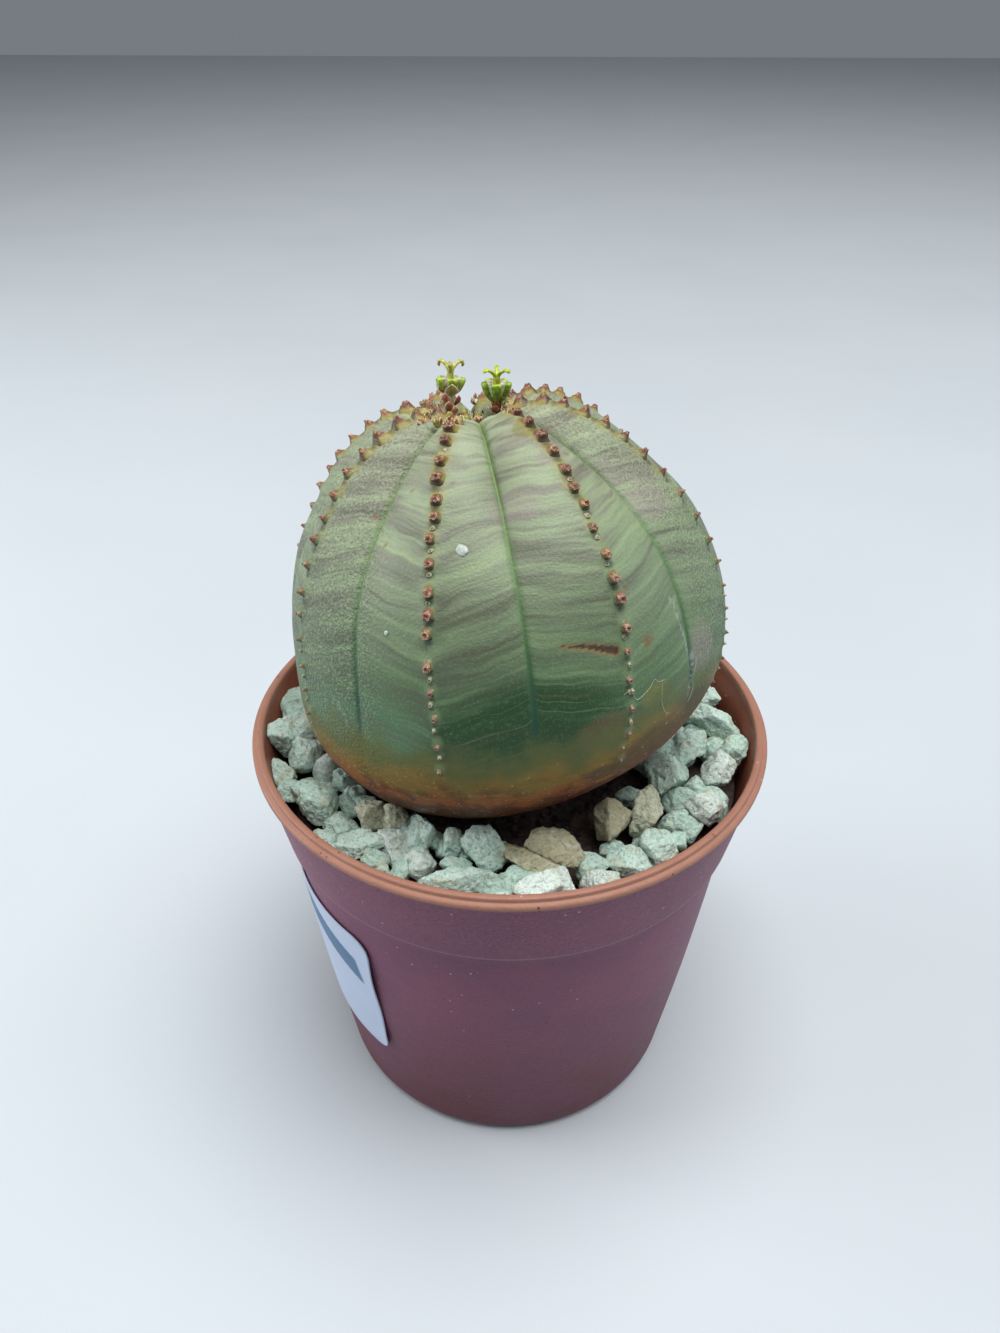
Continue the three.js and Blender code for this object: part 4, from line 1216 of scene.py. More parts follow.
def add_root():
    smooth = on_axis(spline(np.array(ROOT_OUTLINE, float), np.linspace(0, 1, ROOT_COLUMNS)))
    points, faces = turned(smooth, ROOT_COLUMNS)
    points += (ROOT_X, ROOT_Y, 0)
    points[:, :2] += 0.25 * noise_at(points, 3.0, 8)[:, None]
    shader = Shader("root_bark", roughness=0.85)
    place = shader.place()
    cloud = place.scaled((1, 1, 0.4)).noise(0.8, 4)
    shader.set("Base Color", cloud.blend("785838", "a8845c"))
    shader.bump(cloud, 0.3)
    build("plant_root", points, faces, shader.material, "plant_body")


# Tones of the skin at shares of the way down, where 1 is SKIN_SPAN along the skin.
# These tones darken downwards: partly the skin's own darker green lower down, partly painted shade on the
# stem's lower side.
GROUND_STOPS = [
    (0.0, "a6b292"), (0.14, "909a7c"), (0.22, "828c71"), (0.42, "788868"), (0.56, "647658"),
    (0.68, "4a6842"), (0.8, "3c6040"),
]
PURPLE_STOPS = [
    (0.0, "827c72"), (0.3, "767066"), (0.5, "606254"), (0.7, "485444"),
]
PALE_STOPS = [(0.0, "a6b090"), (0.4, "90a078"), (0.7, "6c845e")]
DARK_STOPS = [(0.0, "606252"), (0.4, "525f50"), (0.7, "344a38")]
GROOVE_STOPS = [(0.0, "84a054"), (0.4, "5c7e3c"), (0.72, "144234")]
GROOVE_SHOULDER_STOPS = [(0.0, "768c5c"), (0.4, "547642"), (0.72, "2c5a3c")]
BAND_STRENGTH = [(0.0, 0.35), (0.14, 0.76), (0.5, 0.72), (0.68, 0.55), (0.8, 0.2)]
# Name of the patches, their tone, where in the mask they start and are full, and their strength.
PATCH_TONES = [
    # Painted light in the groove's valley near the crown.
    ("bright", "a6b294", 0.0, 0.9, 0.4),
    # A dark green patch low at the front: partly the skin's own dark green, partly painted shade.
    ("dark_green_and_shade", "083c0e", 0.0, 0.9, 0.9),
    ("lagoon", "4a7050", 0.0, 1.0, 0.72),
    ("brownish", "56482a", 0.0, 0.8, 0.82),
    ("mauve", "8a7e7a", 0.1, 1.1, 0.5),
    ("stain", "716c30", 0.3, 0.8, 0.6),
]
# Painted shade low on the right, towards the foot.
FOOT_PATCH_TONES = [("painted_foot_shade", "382e1c", 0.0, 0.9, 0.65)]


def patched(shader, colour, wander, patches):
    """Lays soft patches over a colour, with edges that wander."""
    for name, tone, low_edge, high_edge, most in patches:
        share = (shader.value(name) + wander).step(low_edge, high_edge)
        colour = colour.tint(share * most, tone)
    return colour


def skin_bands(shader, skin, depth):
    """Grey purple bands on the green: broad zones, bands and thin streaks. Gives the bands too."""
    zones = skin.scaled((0.1, 0.1, 0.3)).noise(1.0, 1)
    sides = []
    for shift in (0.0, 31.0):  # each side of a groove has its own
        moved = skin.moved((shift, 0, shift))
        band = moved.scaled((0.17, 0.17, 0.72)).noise(1.0, 2)
        streak = moved.scaled((0.24, 0.24, 2.7)).noise(1.0, 2)
        sides.append(shader.mixed(0.4, band, streak))
    own = shader.mixed(shader.value("half"), *sides)
    banded = (zones * 0.35 + own * 0.65).step(0.43, 0.6) * depth.ramp(BAND_STRENGTH)
    colour = banded.blend(depth.ramp(GROUND_STOPS), depth.ramp(PURPLE_STOPS))
    colour = colour.tint(own.step(0.52, 0.32) * 0.55, depth.ramp(PALE_STOPS))
    return colour.tint(own.step(0.53, 0.7) * 0.5, depth.ramp(DARK_STOPS)), own


def skin_foot(shader, colour, place, low, streaks, wander):
    """Olive, then brown cork with a crust towards the foot, with pale specks that are partly the crust's own
    grains and partly painted glints, and painted shade in a dark patch low on the right and at the very foot.
    """
    colour = colour.tint(low.step(-4.5, -1.0), "545c28")
    colour = colour.tint(low.step(-1.5, 1.5), "7c6622")
    colour = colour.tint(low.step(1.0, 5.0), streaks.blend("864016", "a85e22"))
    blotch = place.noise(2.0, 4).step(0.52, 0.34) * low.step(-1, 5)
    colour = colour.tint(blotch * 0.7, "3c2210")
    # Painted shade: the darkest brown at the very foot, where the stem meets the soil.
    colour = colour.tint(low.step(4.2, 7.0) * 0.86, "481c0a")
    corky = low.step(-1, 3)
    crust = place.noise(0.7, 4, 0.7).step(0.56, 0.64) * corky
    colour = colour.tint(crust * 0.4, "a88458")
    colour = patched(shader, colour, wander, FOOT_PATCH_TONES)
    # Pale specks: partly the crust's own grains, partly painted glints.
    grit_and_glints = place.cells(0.72).step(0.2, 0.11) * place.noise(1.3, 2).step(0.42, 0.52) * corky
    return colour.tint(grit_and_glints * 0.72, "c4b292")


def skin_marks(shader, colour, place, down, depth):
    """Groove lines, the teeth's halos, painted shade below the teeth, rust, the scar, scratches and pale
    specks.
    """
    groove = shader.value("groove")
    soft = groove.step(0.6, 0.1) * down.step(38.5, 34)
    colour = colour.tint(soft * 0.4, depth.ramp(GROOVE_SHOULDER_STOPS))
    width = down.step(22, 37) * 0.18 + 0.085
    line = (groove / width).step(1.5, 0.5) * down.step(38.5, 36.5)
    colour = colour.tint(line * 0.72, depth.ramp(GROOVE_STOPS))
    halo_tone = down.step(14, 26).blend("8c823e", "6e805d")
    colour = colour.tint(shader.value("halo").step(0.15, 0.8) * 0.58, halo_tone)
    # Painted shade: the skin just below each tooth darkened.
    shade_tone = down.step(10, 26).blend("4c4425", "203020")
    colour = colour.tint(shader.value("shade").step(0.2, 0.9) * 0.62, shade_tone)
    colour = colour.tint(shader.value("rust") * 0.8, "734e28")
    scar = shader.value("scar")
    colour = colour.tint(scar * 0.9, scar.step(0.5, 0.95).blend("8a5c2c", "42221a"))
    scratched = shader.value("scratch") * place.noise(0.35, 3).step(0.45, 0.55)
    colour = colour.tint(scratched * 0.45, "9eaba9")
    specks = place.cells(0.95).step(0.1, 0.06) * place.noise(2.4, 2).step(0.52, 0.6)
    return colour.tint(specks * 0.3, "a0a692")


def skin_material():
    shader = Shader("plant_skin", specular=0.42)
    place = shader.place()
    down = shader.value("down")
    depth = (down + (place.noise(9, 2) - 0.5) * 6.0) / SKIN_SPAN
    waves = (place.noise(3.4, 1) - 0.5) * 1.3
    skin = shader.vector("skin").moved(shader.joined(0.0, 0.0, waves))
    colour, own = skin_bands(shader, skin, depth)
    wander = (own - 0.5) * 1.6
    colour = patched(shader, colour, wander, PATCH_TONES)
    lines = skin.scaled((0.12, 0.12, 3.6)).noise(1.0, 1).step(0.66, 0.72)
    colour = colour.tint(lines * down.step(26, 33) * 0.32, "6e8864")

    # Fine pebbled mottling, strong where the skin is rough: painted highlights on its papillae and painted
    # shade between them.
    mottle = place.noise(0.26, 2, 0.6)
    grain = shader.value("grain")
    colour = colour.tint(mottle.step(0.5, 0.66) * (grain * 0.36), "aaaa94")
    colour = colour.tint(mottle.step(0.48, 0.34) * (grain * 0.42), "50543e")

    low = shader.value("low") + (place.noise(3.2, 4, 0.6) - 0.5) * 7.0
    streaks = place.scaled((0.8, 0.8, 3.5)).noise(1.0, 4)
    colour = skin_foot(shader, colour, place, low, streaks, wander)
    shader.set("Base Color", skin_marks(shader, colour, place, down, depth))
    fine = place.noise(0.2, 2)
    shader.set("Roughness", fine * 0.2 + 0.42)
    relief = shader.bump(fine, 0.035)
    relief = shader.bump(mottle * grain, 0.22, relief)
    relief = shader.bump(own, 0.06, relief)
    shader.bump(streaks * low.step(-1, 3), 0.12, relief)
    return shader.material


# ---- crown: buds, bracts, flowers

TONES = {
    "bright": "9ec032", "vivid": "7aa422", "green": "628a28", "olive": "969048", "flank": "a09e58",
    "lime": "b0c428", "lime_old": "b2b854", "cream": "e2dab8", "shield": "9e864c", "brown": "965434",
    "tan": "b06a3a", "rust": "7c3a28", "pink": "ba6460", "rose": "d6848e", "wine": "762a2c",
    "dark": "48241a", "paper": "ced0b8",
}


def organ_material():
    shader = Shader("flower_tissue", roughness=0.42, specular=0.45)
    place = shader.place()
    tone = shader.vector("tone")
    cloud = place.noise(0.3, 3)
    deep = tone.tint(1.0, "cebeaa", "MULTIPLY")
    colour = tone.tint(cloud.step(0.58, 0.36), deep)
    glints = cloud.step(0.56, 0.74) * 0.3
    colour = colour.tint(glints, "e8e2be")
    shader.set("Base Color", colour)
    shader.bump(place.noise(0.14, 3), 0.03)
    return shader.material


def frame_of(up, facing=0.0):
    """Side, ahead and up of a frame that stands on a surface, turned about its own axis."""
    side = unit(np.cross([0.2, 1, 0.1], up))
    ahead = np.cross(up, side)
    turn = math.radians(facing)
    return np.array([
        side * math.cos(turn) + ahead * math.sin(turn),
        ahead * math.cos(turn) - side * math.sin(turn),
        up,
    ])


def tones_along(tones, shares):
    """The tones, evenly spaced, at each share of the way."""
    stops = np.array([srgb(TONES[tone]) for tone in tones])
    places = np.linspace(0, 1, len(stops))
    return np.stack([np.interp(shares, places, stops[:, i]) for i in range(3)], axis=-1)


def add_blob(heap, centre, axes, sizes, tones, rows=12, columns=18, seed=0, rough=0.05):
    """An egg shape with its own axes, its half sizes along them, and tones from foot to top."""
    angles = circle(columns)
    turns = np.linspace(-math.pi / 2, math.pi / 2, rows + 2)[1:-1, None]
    height = np.repeat(np.sin(turns), columns, 1)
    rings = np.stack([np.cos(turns) * np.cos(angles), np.cos(turns) * np.sin(angles), height], -1)
    lumps = noise_at((rings + seed).reshape(-1, 3), 0.6, seed).reshape(rows, columns, 1)
    shape = rings * sizes * (1 + rough * lumps)
    points, faces = capped_grid(shape, (0, 0, -sizes[2]), (0, 0, sizes[2]))
    shares = (points[:, 2] / sizes[2] + 1) / 2
    heap.add(centre + points @ axes, faces, tone=tones_along(tones, shares))


def add_blade(heap, foot, axes, azimuth, profile, tones, edge=None, rows=14, columns=14, corner=1.0):
    """A body along a path. The profile's rows are out, up, half width and half thickness."""
    smooth = spline(np.array(profile, float), np.linspace(0, 1, rows))
    smooth[:, 2:] = np.maximum(smooth[:, 2:], 0.02)
    side = polar(1, azimuth + 90)
    path = smooth[:, :1] * polar(1, azimuth) + smooth[:, 1:2] * np.array([0, 0, 1])
    heading = units(np.gradient(path, axis=0))
    normal = np.cross(heading, side)
    angles = circle(columns)
    across = np.sign(np.cos(angles)) * np.abs(np.cos(angles)) ** corner
    through = np.sign(np.sin(angles)) * np.abs(np.sin(angles)) ** corner
    rings = path[:, None] + (smooth[:, 2:3] * across)[..., None] * side
    rings = rings + (smooth[:, 3:] * through)[..., None] * normal[:, None]
    points, faces = capped_grid(rings, path[0], path[-1] + heading[-1] * smooth[-1, 3] * 0.4)
    shares = np.append(np.repeat(np.linspace(0, 1, rows), columns), (0, 1))
    colours = tones_along(tones, shares)
    if edge:
        rim = np.append(np.tile(np.abs(across) ** 3, rows), (0, 1))
        rim = np.maximum(rim, ease(shares, 0.86, 1))[:, None]
        colours = colours * (1 - rim) + np.array(srgb(TONES[edge])) * rim
    heap.add(foot + points @ axes, faces, tone=colours)


# A bract of length 1 and half width 1 that bows outwards.
BRACT = [
    (0, 0, 0.45, 1), (0.12, 0.25, 0.85, 1), (0.2, 0.5, 1, 0.9), (0.2, 0.78, 0.75, 0.7), (0.12, 1, 0.16, 0.4),
]
BRACT_THICKNESS = 0.07

# The cup: a papery funnel, five thick lobes on it, a style column and three arms. Heights are over
# the stalk's top; rows are radius or distance from the axis, height, and the lofts' half sizes.
CUP_OUTLINE = [
    (0, 0.1), (0.42, 0.12), (0.6, 0.5), (0.8, 1.1), (0.94, 1.7), (0.96, 2.0), (0.88, 2.02), (0.72, 1.7),
    (0.5, 1.4), (0, 1.3),
]
LOBE = [
    (0.4, 0.1, 0.2, 0.16), (0.68, 0.55, 0.3, 0.26), (0.9, 1.1, 0.4, 0.3), (1.08, 1.6, 0.46, 0.3),
    (1.2, 1.98, 0.45, 0.25), (1.22, 2.14, 0.34, 0.15),
]
FRINGE = [(0.62, 0.5, 0.08, 0.04), (0.86, 1.2, 0.13, 0.05), (1.02, 1.85, 0.14, 0.05), (1.06, 2.2, 0.07, 0.03)]
FRINGE_AZIMUTHS = (21, 29, 36, 43, 51)  # from a lobe's
CUP_ROWS = 34
CUP_COLUMNS = 40
CUP_LOBES = 5
ARMS = 3
STALK = [(0, -0.2), (0.52, -0.1), (0.46, 0.4), (0.42, 1.0), (0.46, 1.4), (0, 1.5)]
STALK_COLUMNS = 16
STALK_TONES = {"left": ("rust", "pink", "cream"), "right": ("wine", "rust", "brown")}
STYLE_FOOT_Z = 1.4
STYLE_RADII = (0.42, 0.36, 0.32, 0.31, 0.32)  # from foot to top
CUP_HEIGHT = 1.8
ARM_OLD = [
    (-0.1, -0.5, 0.3, 0.28), (0.25, -0.02, 0.25, 0.22), (0.6, 0.3, 0.21, 0.18), (0.95, 0.5, 0.19, 0.16),
    (1.2, 0.46, 0.2, 0.17), (1.3, 0.22, 0.17, 0.14), (1.2, 0.05, 0.08, 0.08),
]
ARM_FRESH = [
    (-0.08, -0.5, 0.3, 0.26), (0.26, -0.02, 0.26, 0.18), (0.58, 0.24, 0.34, 0.15), (0.92, 0.42, 0.4, 0.14),
    (1.2, 0.4, 0.36, 0.12), (1.36, 0.24, 0.18, 0.08),
]
# The arm that points away from the front looks narrow.
BACK_ARM_FROM = 0.9
BACK_ARM_WIDTH = 0.55
# How each cup is set on its stalk: its height against the outline's, and how far it is raised, with
# how far the style is.
CUP_SET = {"left": (0.7, 0.74, 0.1), "right": (0.85, 0.5, 0.28)}

# Bracts round each cup: azimuth, distance from the axis and height of the foot, length, half width,
# outward lean in degrees, tones from foot to tip, and tone of the edge.
CUP_BRACTS = {
    "left": [
        (278, 0.84, 2.3, 1.35, 0.66, 30, ("shield", "olive", "shield"), "cream"),
        (188, 0.45, 2.3, 1.25, 0.6, 38, ("flank", "flank"), "cream"),
        (60, 0.45, 2.3, 1.2, 0.6, 36, ("flank", "shield"), "cream"),
        (246, 0.62, 1.6, 1.05, 0.52, 20, ("brown", "pink", "rose"), "cream"),
        (318, 0.6, 1.35, 1.05, 0.38, 20, ("wine", "wine", "pink"), None),
        (120, 0.4, 0.7, 1.0, 0.45, 28, ("brown", "pink"), "cream"),
        (268, 0.6, 0.7, 1.15, 0.5, 10, ("wine", "brown", "pink"), "cream"),
        (300, 0.56, 0.5, 1.0, 0.42, 24, ("brown", "pink"), "cream"),
    ],
    "right": [
        (262, 0.4, 0.55, 0.85, 0.44, 12, ("dark", "rust", "brown"), None),
        (205, 0.42, 0.5, 0.95, 0.3, 26, ("pink", "cream"), "cream"),
        (318, 0.4, 0.55, 0.8, 0.3, 20, ("rust", "brown"), "cream"),
        (90, 0.4, 0.5, 0.9, 0.45, 20, ("brown", "pink"), "cream"),
        (30, 0.4, 0.5, 0.8, 0.4, 24, ("rust", "pink"), "cream"),
    ],
}


def flower_axes(flower):
    """Rows that turn a flower's own frame into the part's."""
    up = Vector((*flower["lean"], 1)).normalized()
    lean = Vector((0, 0, 1)).rotation_difference(up).to_matrix()
    return np.array(lean @ rotation(flower["turn"])).T


def fitted(profile, share=1.0, rise=0.0):
    """A profile with its heights scaled and then raised."""
    rows = np.array(profile, float)
    rows[:, 1] = rows[:, 1] * share + rise
    return rows


def add_cup(heap, foot, axes, stalk, squash, old):
    cup, lobe, fringe = (fitted(rows, squash, stalk) for rows in (CUP_OUTLINE, LOBE, FRINGE))
    points, faces = turned(on_axis(spline(cup, np.linspace(0, 1, CUP_ROWS))), CUP_COLUMNS)
    shares = ease(points[:, 2] - stalk, 0.2, 1.6 * squash)
    heap.add(foot + points @ axes, faces, tone=tones_along(("olive", "flank", "paper"), shares))
    tones = ("flank", "olive", "bright", "bright") if old else ("olive", "green", "vivid", "bright")
    for i in range(CUP_LOBES):
        azimuth = 180 + i * 360 / CUP_LOBES
        add_blade(heap, foot, axes, azimuth, lobe, tones, rows=20, columns=20, corner=0.75)
        for offset in FRINGE_AZIMUTHS:
            hairs = ("flank", "paper", "cream")
            add_blade(heap, foot, axes, azimuth + offset, fringe, hairs, rows=8, columns=6)


def add_style(heap, foot, axes, flower, rise, old):
    base = flower["stalk"] + STYLE_FOOT_Z
    top = flower["stalk"] + CUP_HEIGHT + flower["style"] + rise
    column = [(0, z, r, r) for z, r in zip(np.linspace(base, top, len(STYLE_RADII)), STYLE_RADII)]
    tones = ("shield", "lime_old", "lime_old") if old else ("green", "lime", "lime")
    add_blade(heap, foot, axes, 0, column, tones)
    for i in range(ARMS):
        profile = fitted(ARM_OLD if old else ARM_FRESH, rise=top)
        turn = math.sin(math.radians(flower["turn"] + i * 360 / ARMS))
        if not old and turn > BACK_ARM_FROM:
            profile = profile * (1, 1, BACK_ARM_WIDTH, 1)
        tones = ("lime_old", "lime_old", "lime_old", "tan") if old else ("lime", "lime", "lime")
        if old and turn < -BACK_ARM_FROM:
            tones = ("lime_old", "lime_old", "olive")
        add_blade(heap, foot, axes, i * 360 / ARMS, profile, tones, rows=22)


def add_bract(heap, foot, axes, azimuth, out, up, length, width, lean, tones, edge):
    """A bract whose foot stands out from a flower's axis, and which leans outwards."""
    side = polar(1, azimuth + 90)
    tilt = rotation(lean, Vector(side))
    place = foot + polar(out, azimuth, up) @ axes
    profile = np.array(BRACT) * (length, length, width, BRACT_THICKNESS)
    add_blade(heap, place, np.array(tilt).T @ axes, azimuth, profile, tones, edge)


def add_flowers():
    material = organ_material()
    for name, slot in (("left", "flower_olive"), ("right", "flower_green")):
        heap = Heap()
        flower = FLOWERS[name]
        foot, axes, old = flower_foot(flower), flower_axes(flower), name == "left"
        squash, rise, style_rise = CUP_SET[name]
        stalk = flower["stalk"] + rise
        smooth = spline(fitted(STALK, stalk / STALK[-2][1]), np.linspace(0, 1, STALK_COLUMNS))
        points, faces = turned(smooth, STALK_COLUMNS)
        heap.add(foot + points @ axes, faces, tone=tones_along(STALK_TONES[name], ease(points[:, 2], 0, 1.2)))
        add_cup(heap, foot, axes, stalk, squash, old)
        add_style(heap, foot, axes, flower, style_rise, old)
        turn_back = np.array(rotation(-flower["turn"])).T
        for azimuth, *sizes in CUP_BRACTS[name]:
            add_bract(heap, foot, turn_back @ axes, azimuth, *sizes)
        heap.build(f"flower_{name}", material, f"cyathium_{name}", slot)


# Clusters of small dry bracts at the crown: azimuth and distance from its centre, how many, spread,
# and their tones.
PINKS = ("rose", "rose", "wine", "cream")
REDS = ("wine", "pink", "rose", "cream")
BROWNS = ("brown", "olive", "rust", "cream")
BRACT_CLUSTERS = [
    (197, 4.5, 9, 0.5, PINKS), (221, 5.0, 8, 0.55, PINKS), (219, 6.4, 8, 0.5, REDS),
    (207, 5.4, 6, 0.5, REDS), (200, 3.2, 5, 0.4, BROWNS), (250, 6.6, 8, 0.6, BROWNS),
    (233, 3.8, 6, 0.5, BROWNS), (255, 4.8, 9, 0.5, PINKS), (80, 1.3, 7, 0.5, REDS),
    (268, 1.5, 8, 0.5, REDS), (89, 5.4, 7, 0.6, REDS), (93, 4.3, 5, 0.5, BROWNS),
    (358, 3.0, 7, 0.5, BROWNS), (21, 2.3, 5, 0.5, BROWNS), (358, 4.4, 6, 0.4, REDS),
    (134, 5.2, 8, 0.7, BROWNS), (126, 7.4, 9, 0.6, REDS), (135, 7.8, 8, 0.7, BROWNS),
    (134, 10.5, 5, 0.4, REDS), (310, 5.2, 5, 0.5, BROWNS), (60, 4.6, 6, 0.6, BROWNS),
    (160, 5.4, 6, 0.6, REDS),
]
CLUSTER_CLOSENESS = 0.75
CLUSTER_FILL = 1.5
CLUSTER_BRACT = {"length": (0.35, 0.65), "width": (0.1, 0.2), "lean": (-10, 30)}
BRACTS_A_BUD = 4

# Buds at the flowers' feet: the flower, the bud's place from its foot, radius and tones.
FOOT_BUDS = [
    ("left", (0.0, -0.85, 0.55), 0.42, ("wine", "brown", "olive"), "pink"),
    ("left", (1.5, -0.9, 0.2), 0.48, ("olive", "flank", "olive"), "cream"),
    ("right", (1.15, -0.2, 1.4), 0.42, ("olive", "flank", "flank"), "cream"),
    ("right", (1.0, -0.6, 0.4), 0.3, ("wine", "rust", "wine"), "pink"),
    ("left", (-1.6, -0.8, -0.1), 0.34, ("wine", "rose", "pink"), "cream"),
]


def add_foot_buds(heap, draw):
    for name, offset, radius, tones, edge in FOOT_BUDS:
        centre = flower_foot(FLOWERS[name]) + offset
        axes = frame_of(unit(np.array([draw(-0.2, 0.2), -0.25, 1])), draw(0, 360))
        add_blob(heap, centre, axes, (radius, radius, radius * 1.25), tones, seed=7)
        for k in range(BRACTS_A_BUD):
            sizes = (radius * 0.8, -radius, radius * draw(1.7, 2.1), radius * 0.66)
            add_bract(heap, centre, axes, k * 90 + draw(-20, 20), *sizes, draw(-14, 4), tones[:2], edge)


def add_buds():
    heap = Heap()
    draw = seeded_draw(SEEDS["buds"])
    for i, (azimuth, out, radius) in enumerate(BUDS):
        place = Place(azimuth, out)
        axes = frame_of(place.outward, draw(0, 360))
        sizes = (radius, radius, radius * 1.3)
        add_blob(heap, place.point, axes, sizes, ("shield", "olive", "flank"), seed=i)
        for k in range(BRACTS_A_BUD):
            tones = (("rust", "pink"), ("shield", "flank"))[k % 2]
            edge = "cream" if draw(0, 1) < 0.8 else "pink"
            sizes = (radius * 0.75, -0.2, radius * draw(1.2, 1.6), radius * 0.6)
            add_bract(heap, place.point, axes, k * 90 + draw(-20, 20), *sizes, draw(-12, 14), tones, edge)
    for azimuth, out, count, spread, kinds in BRACT_CLUSTERS:
        spread *= CLUSTER_CLOSENESS
        for _ in range(round(count * CLUSTER_FILL)):
            turn = azimuth + math.degrees(draw(-spread, spread) / max(out, 1.5))
            place = Place(turn, max(out + draw(-spread, spread), 0.8))
            up = unit(place.outward + np.array([draw(-0.6, 0.6), draw(-0.6, 0.6), draw(-0.2, 0.4)]))
            tones = (kinds[int(draw(0, 3))], kinds[int(draw(0, 3))])
            foot = place.point - place.outward * 0.2
            sizes = (0, 0, draw(*CLUSTER_BRACT["length"]), draw(*CLUSTER_BRACT["width"]))
            edge = kinds[3] if draw(0, 1) < 0.6 else None
            axes = frame_of(up, draw(0, 360))
            add_bract(heap, foot, axes, 0, *sizes, draw(*CLUSTER_BRACT["lean"]), tones, edge)
    add_foot_buds(heap, draw)
    heap.build("plant_buds", organ_material(), "plant_body", "plant_skin")


# ---- soil


SOIL_STEM_RADIUS = 7.5  # within it the stem hides the soil
SOIL_LUMPS = (0.22, 0.1)  # coarse and fine


def soil_outline():
    outline = [(0, FLOOR_Z + GAP), (inside_radius(FLOOR_Z) - 1 - GAP, FLOOR_Z + GAP)]
    heights = [*np.linspace(FLOOR_Z + 1.6, COLLAR_FOOT_Z - 0.5, 16)]
    heights += [*np.linspace(COLLAR_FOOT_Z + 0.2, SOIL_UNDER_STONES_Z - 0.2, 4)]
    outline += [(inside_radius(z) - GAP, z) for z in heights]
    for radius in np.arange(inside_radius(SOIL_UNDER_STONES_Z) - GAP - 0.2, SOIL_STEM_RADIUS, -0.26):
        rise = float(ease(radius, SOIL_BARE_RADIUS + 1.6, SOIL_BARE_RADIUS - 0.6))
        outline.append((radius, mix(SOIL_UNDER_STONES_Z, SOIL_BARE_Z, rise)))
    outline.append((0, SOIL_BARE_Z))
    return outline


def soil_material():
    shader = Shader("potting_soil", roughness=0.8, specular=0.5)
    place = shader.place()
    lump = place.noise(0.9, 4, 0.65)
    colour = lump.step(0.35, 0.65).blend("2c2222", "58443c")
    fibres = place.scaled((1.6, 0.5, 1)).noise(0.4, 3).step(0.66, 0.74)
    colour = colour.tint(fibres * 0.6, "8c5c46")
    glints = place.cells(0.55).step(0.12, 0.08)
    rare = place.noise(1.3, 2).step(0.56, 0.62)
    glint_share = glints * rare
    colour = colour.tint(glint_share, "aa8074")
    shader.set("Base Color", colour)
    shader.set("Roughness", 0.85 - glint_share * 0.6)
    relief = shader.bump(place.noise(0.3, 4, 0.7), 0.16)
    shader.bump(lump, 0.2, relief)
    return shader.material


CRUMBS = 420
CRUMB_REACH = (10.5, 19)
CRUMB_SIZES = (0.16, 0.42)


def add_soil():
    points, faces = turned(soil_outline(), SOIL_COLUMNS)
    top = ease(points[:, 2], SOIL_UNDER_STONES_Z - 0.3, SOIL_UNDER_STONES_Z)
    radius = np.hypot(points[:, 0], points[:, 1])
    top = top * (radius > 7)
    coarse, fine = rough_at(points, 1.1, 4), rough_at(points, 0.4, 6)
    points[:, 2] += top * (SOIL_LUMPS[0] * coarse + SOIL_LUMPS[1] * fine)
    heap = Heap()
    heap.add(points, faces)
    draw = seeded_draw(SEEDS["crumbs"])
    ball_points, ball_faces = ball(2)
    for i in range(CRUMBS):
        azimuth = draw(0, 360)
        out = draw(*CRUMB_REACH)
        size = draw(*CRUMB_SIZES) * draw(0.6, 1.4)
        height = mix(SOIL_UNDER_STONES_Z, SOIL_BARE_Z, float(ease(out, 18.8, 16.6)))
        lump = ball_points * (1 + 0.3 * noise_at(ball_points, 0.8, i))[:, None]
        lump = lump * (size, size * draw(0.6, 1), size * draw(0.6, 1))
        axes = frame_of(unit(np.array([draw(-1, 1), draw(-1, 1), 1.2])), draw(0, 360))
        heap.add(lump @ axes + polar(out, azimuth, height), ball_faces)
    heap.build("soil_top", soil_material(), "soil", "soil")


# ---- stones


def ball(level):
    """Points and triangles of an even ball of radius 1."""
    maker = bmesh.new()
    bmesh.ops.create_icosphere(maker, subdivisions=level, radius=1)
    points = np.array([v.co[:] for v in maker.verts])
    faces = [tuple(v.index for v in face.verts) for face in maker.faces]
    maker.free()
    return points, faces


def stone_spec(x, y, length, width, height, turn, lift):
    return {"x": x, "y": y, "sizes": (length, width, height), "turn": turn, "lift": lift}


def azimuth_of(x, y):
    return math.degrees(math.atan2(y, x)) % 360


def is_bare(x, y):
    azimuth = azimuth_of(x, y)
    extra = BARE_SOIL_EXTRA if BARE_SOIL_AZIMUTHS[0] < azimuth < BARE_SOIL_AZIMUTHS[1] else 0
    return math.hypot(x, y) < BED_INNER_RADIUS + extra or math.hypot(x - ROOT_X, y - ROOT_Y) < STEM_ROOM


def scatter(stones, draw, count, sizes, closeness, lift):
    """Adds stones wherever they have room, by the draws that placed the solid ones."""
    most = len(stones) + count
    for _ in range(STONE_TRIES):
        if len(stones) >= most:
            break
        size = draw(*sizes)
        widest = inside_radius(BED_TOP_Z) - GAP - STONE_RIM_ROOM * size
        azimuth = draw(0, 2 * math.pi)
        out = draw(BED_INNER_RADIUS, widest)
        x, y = out * math.cos(azimuth), out * math.sin(azimuth)
        crowded = any(
            math.hypot(x - other["x"], y - other["y"])
            <= closeness * (size + math.sqrt(other["sizes"][0] * other["sizes"][1]))
            for other in stones
        )
        if is_bare(x, y) or crowded:
            continue
        width = size * draw(*STONE_WIDTH)
        height = size * draw(*STONE_HEIGHT)
        turn = draw(0, 180)
        stones.append(stone_spec(x, y, size, width, height, turn, draw(-lift, lift)))


def stone_list():
    draw = seeded_draw(SEEDS["stonePlaces"])
    stones = [stone_spec(*polar(out, azimuth)[:2], *row) for azimuth, out, *row in SHOWN_STONES]
    scatter(stones, draw, **FILL_STONES)
    scatter(stones, draw, **CHIP_STONES)
    return stones


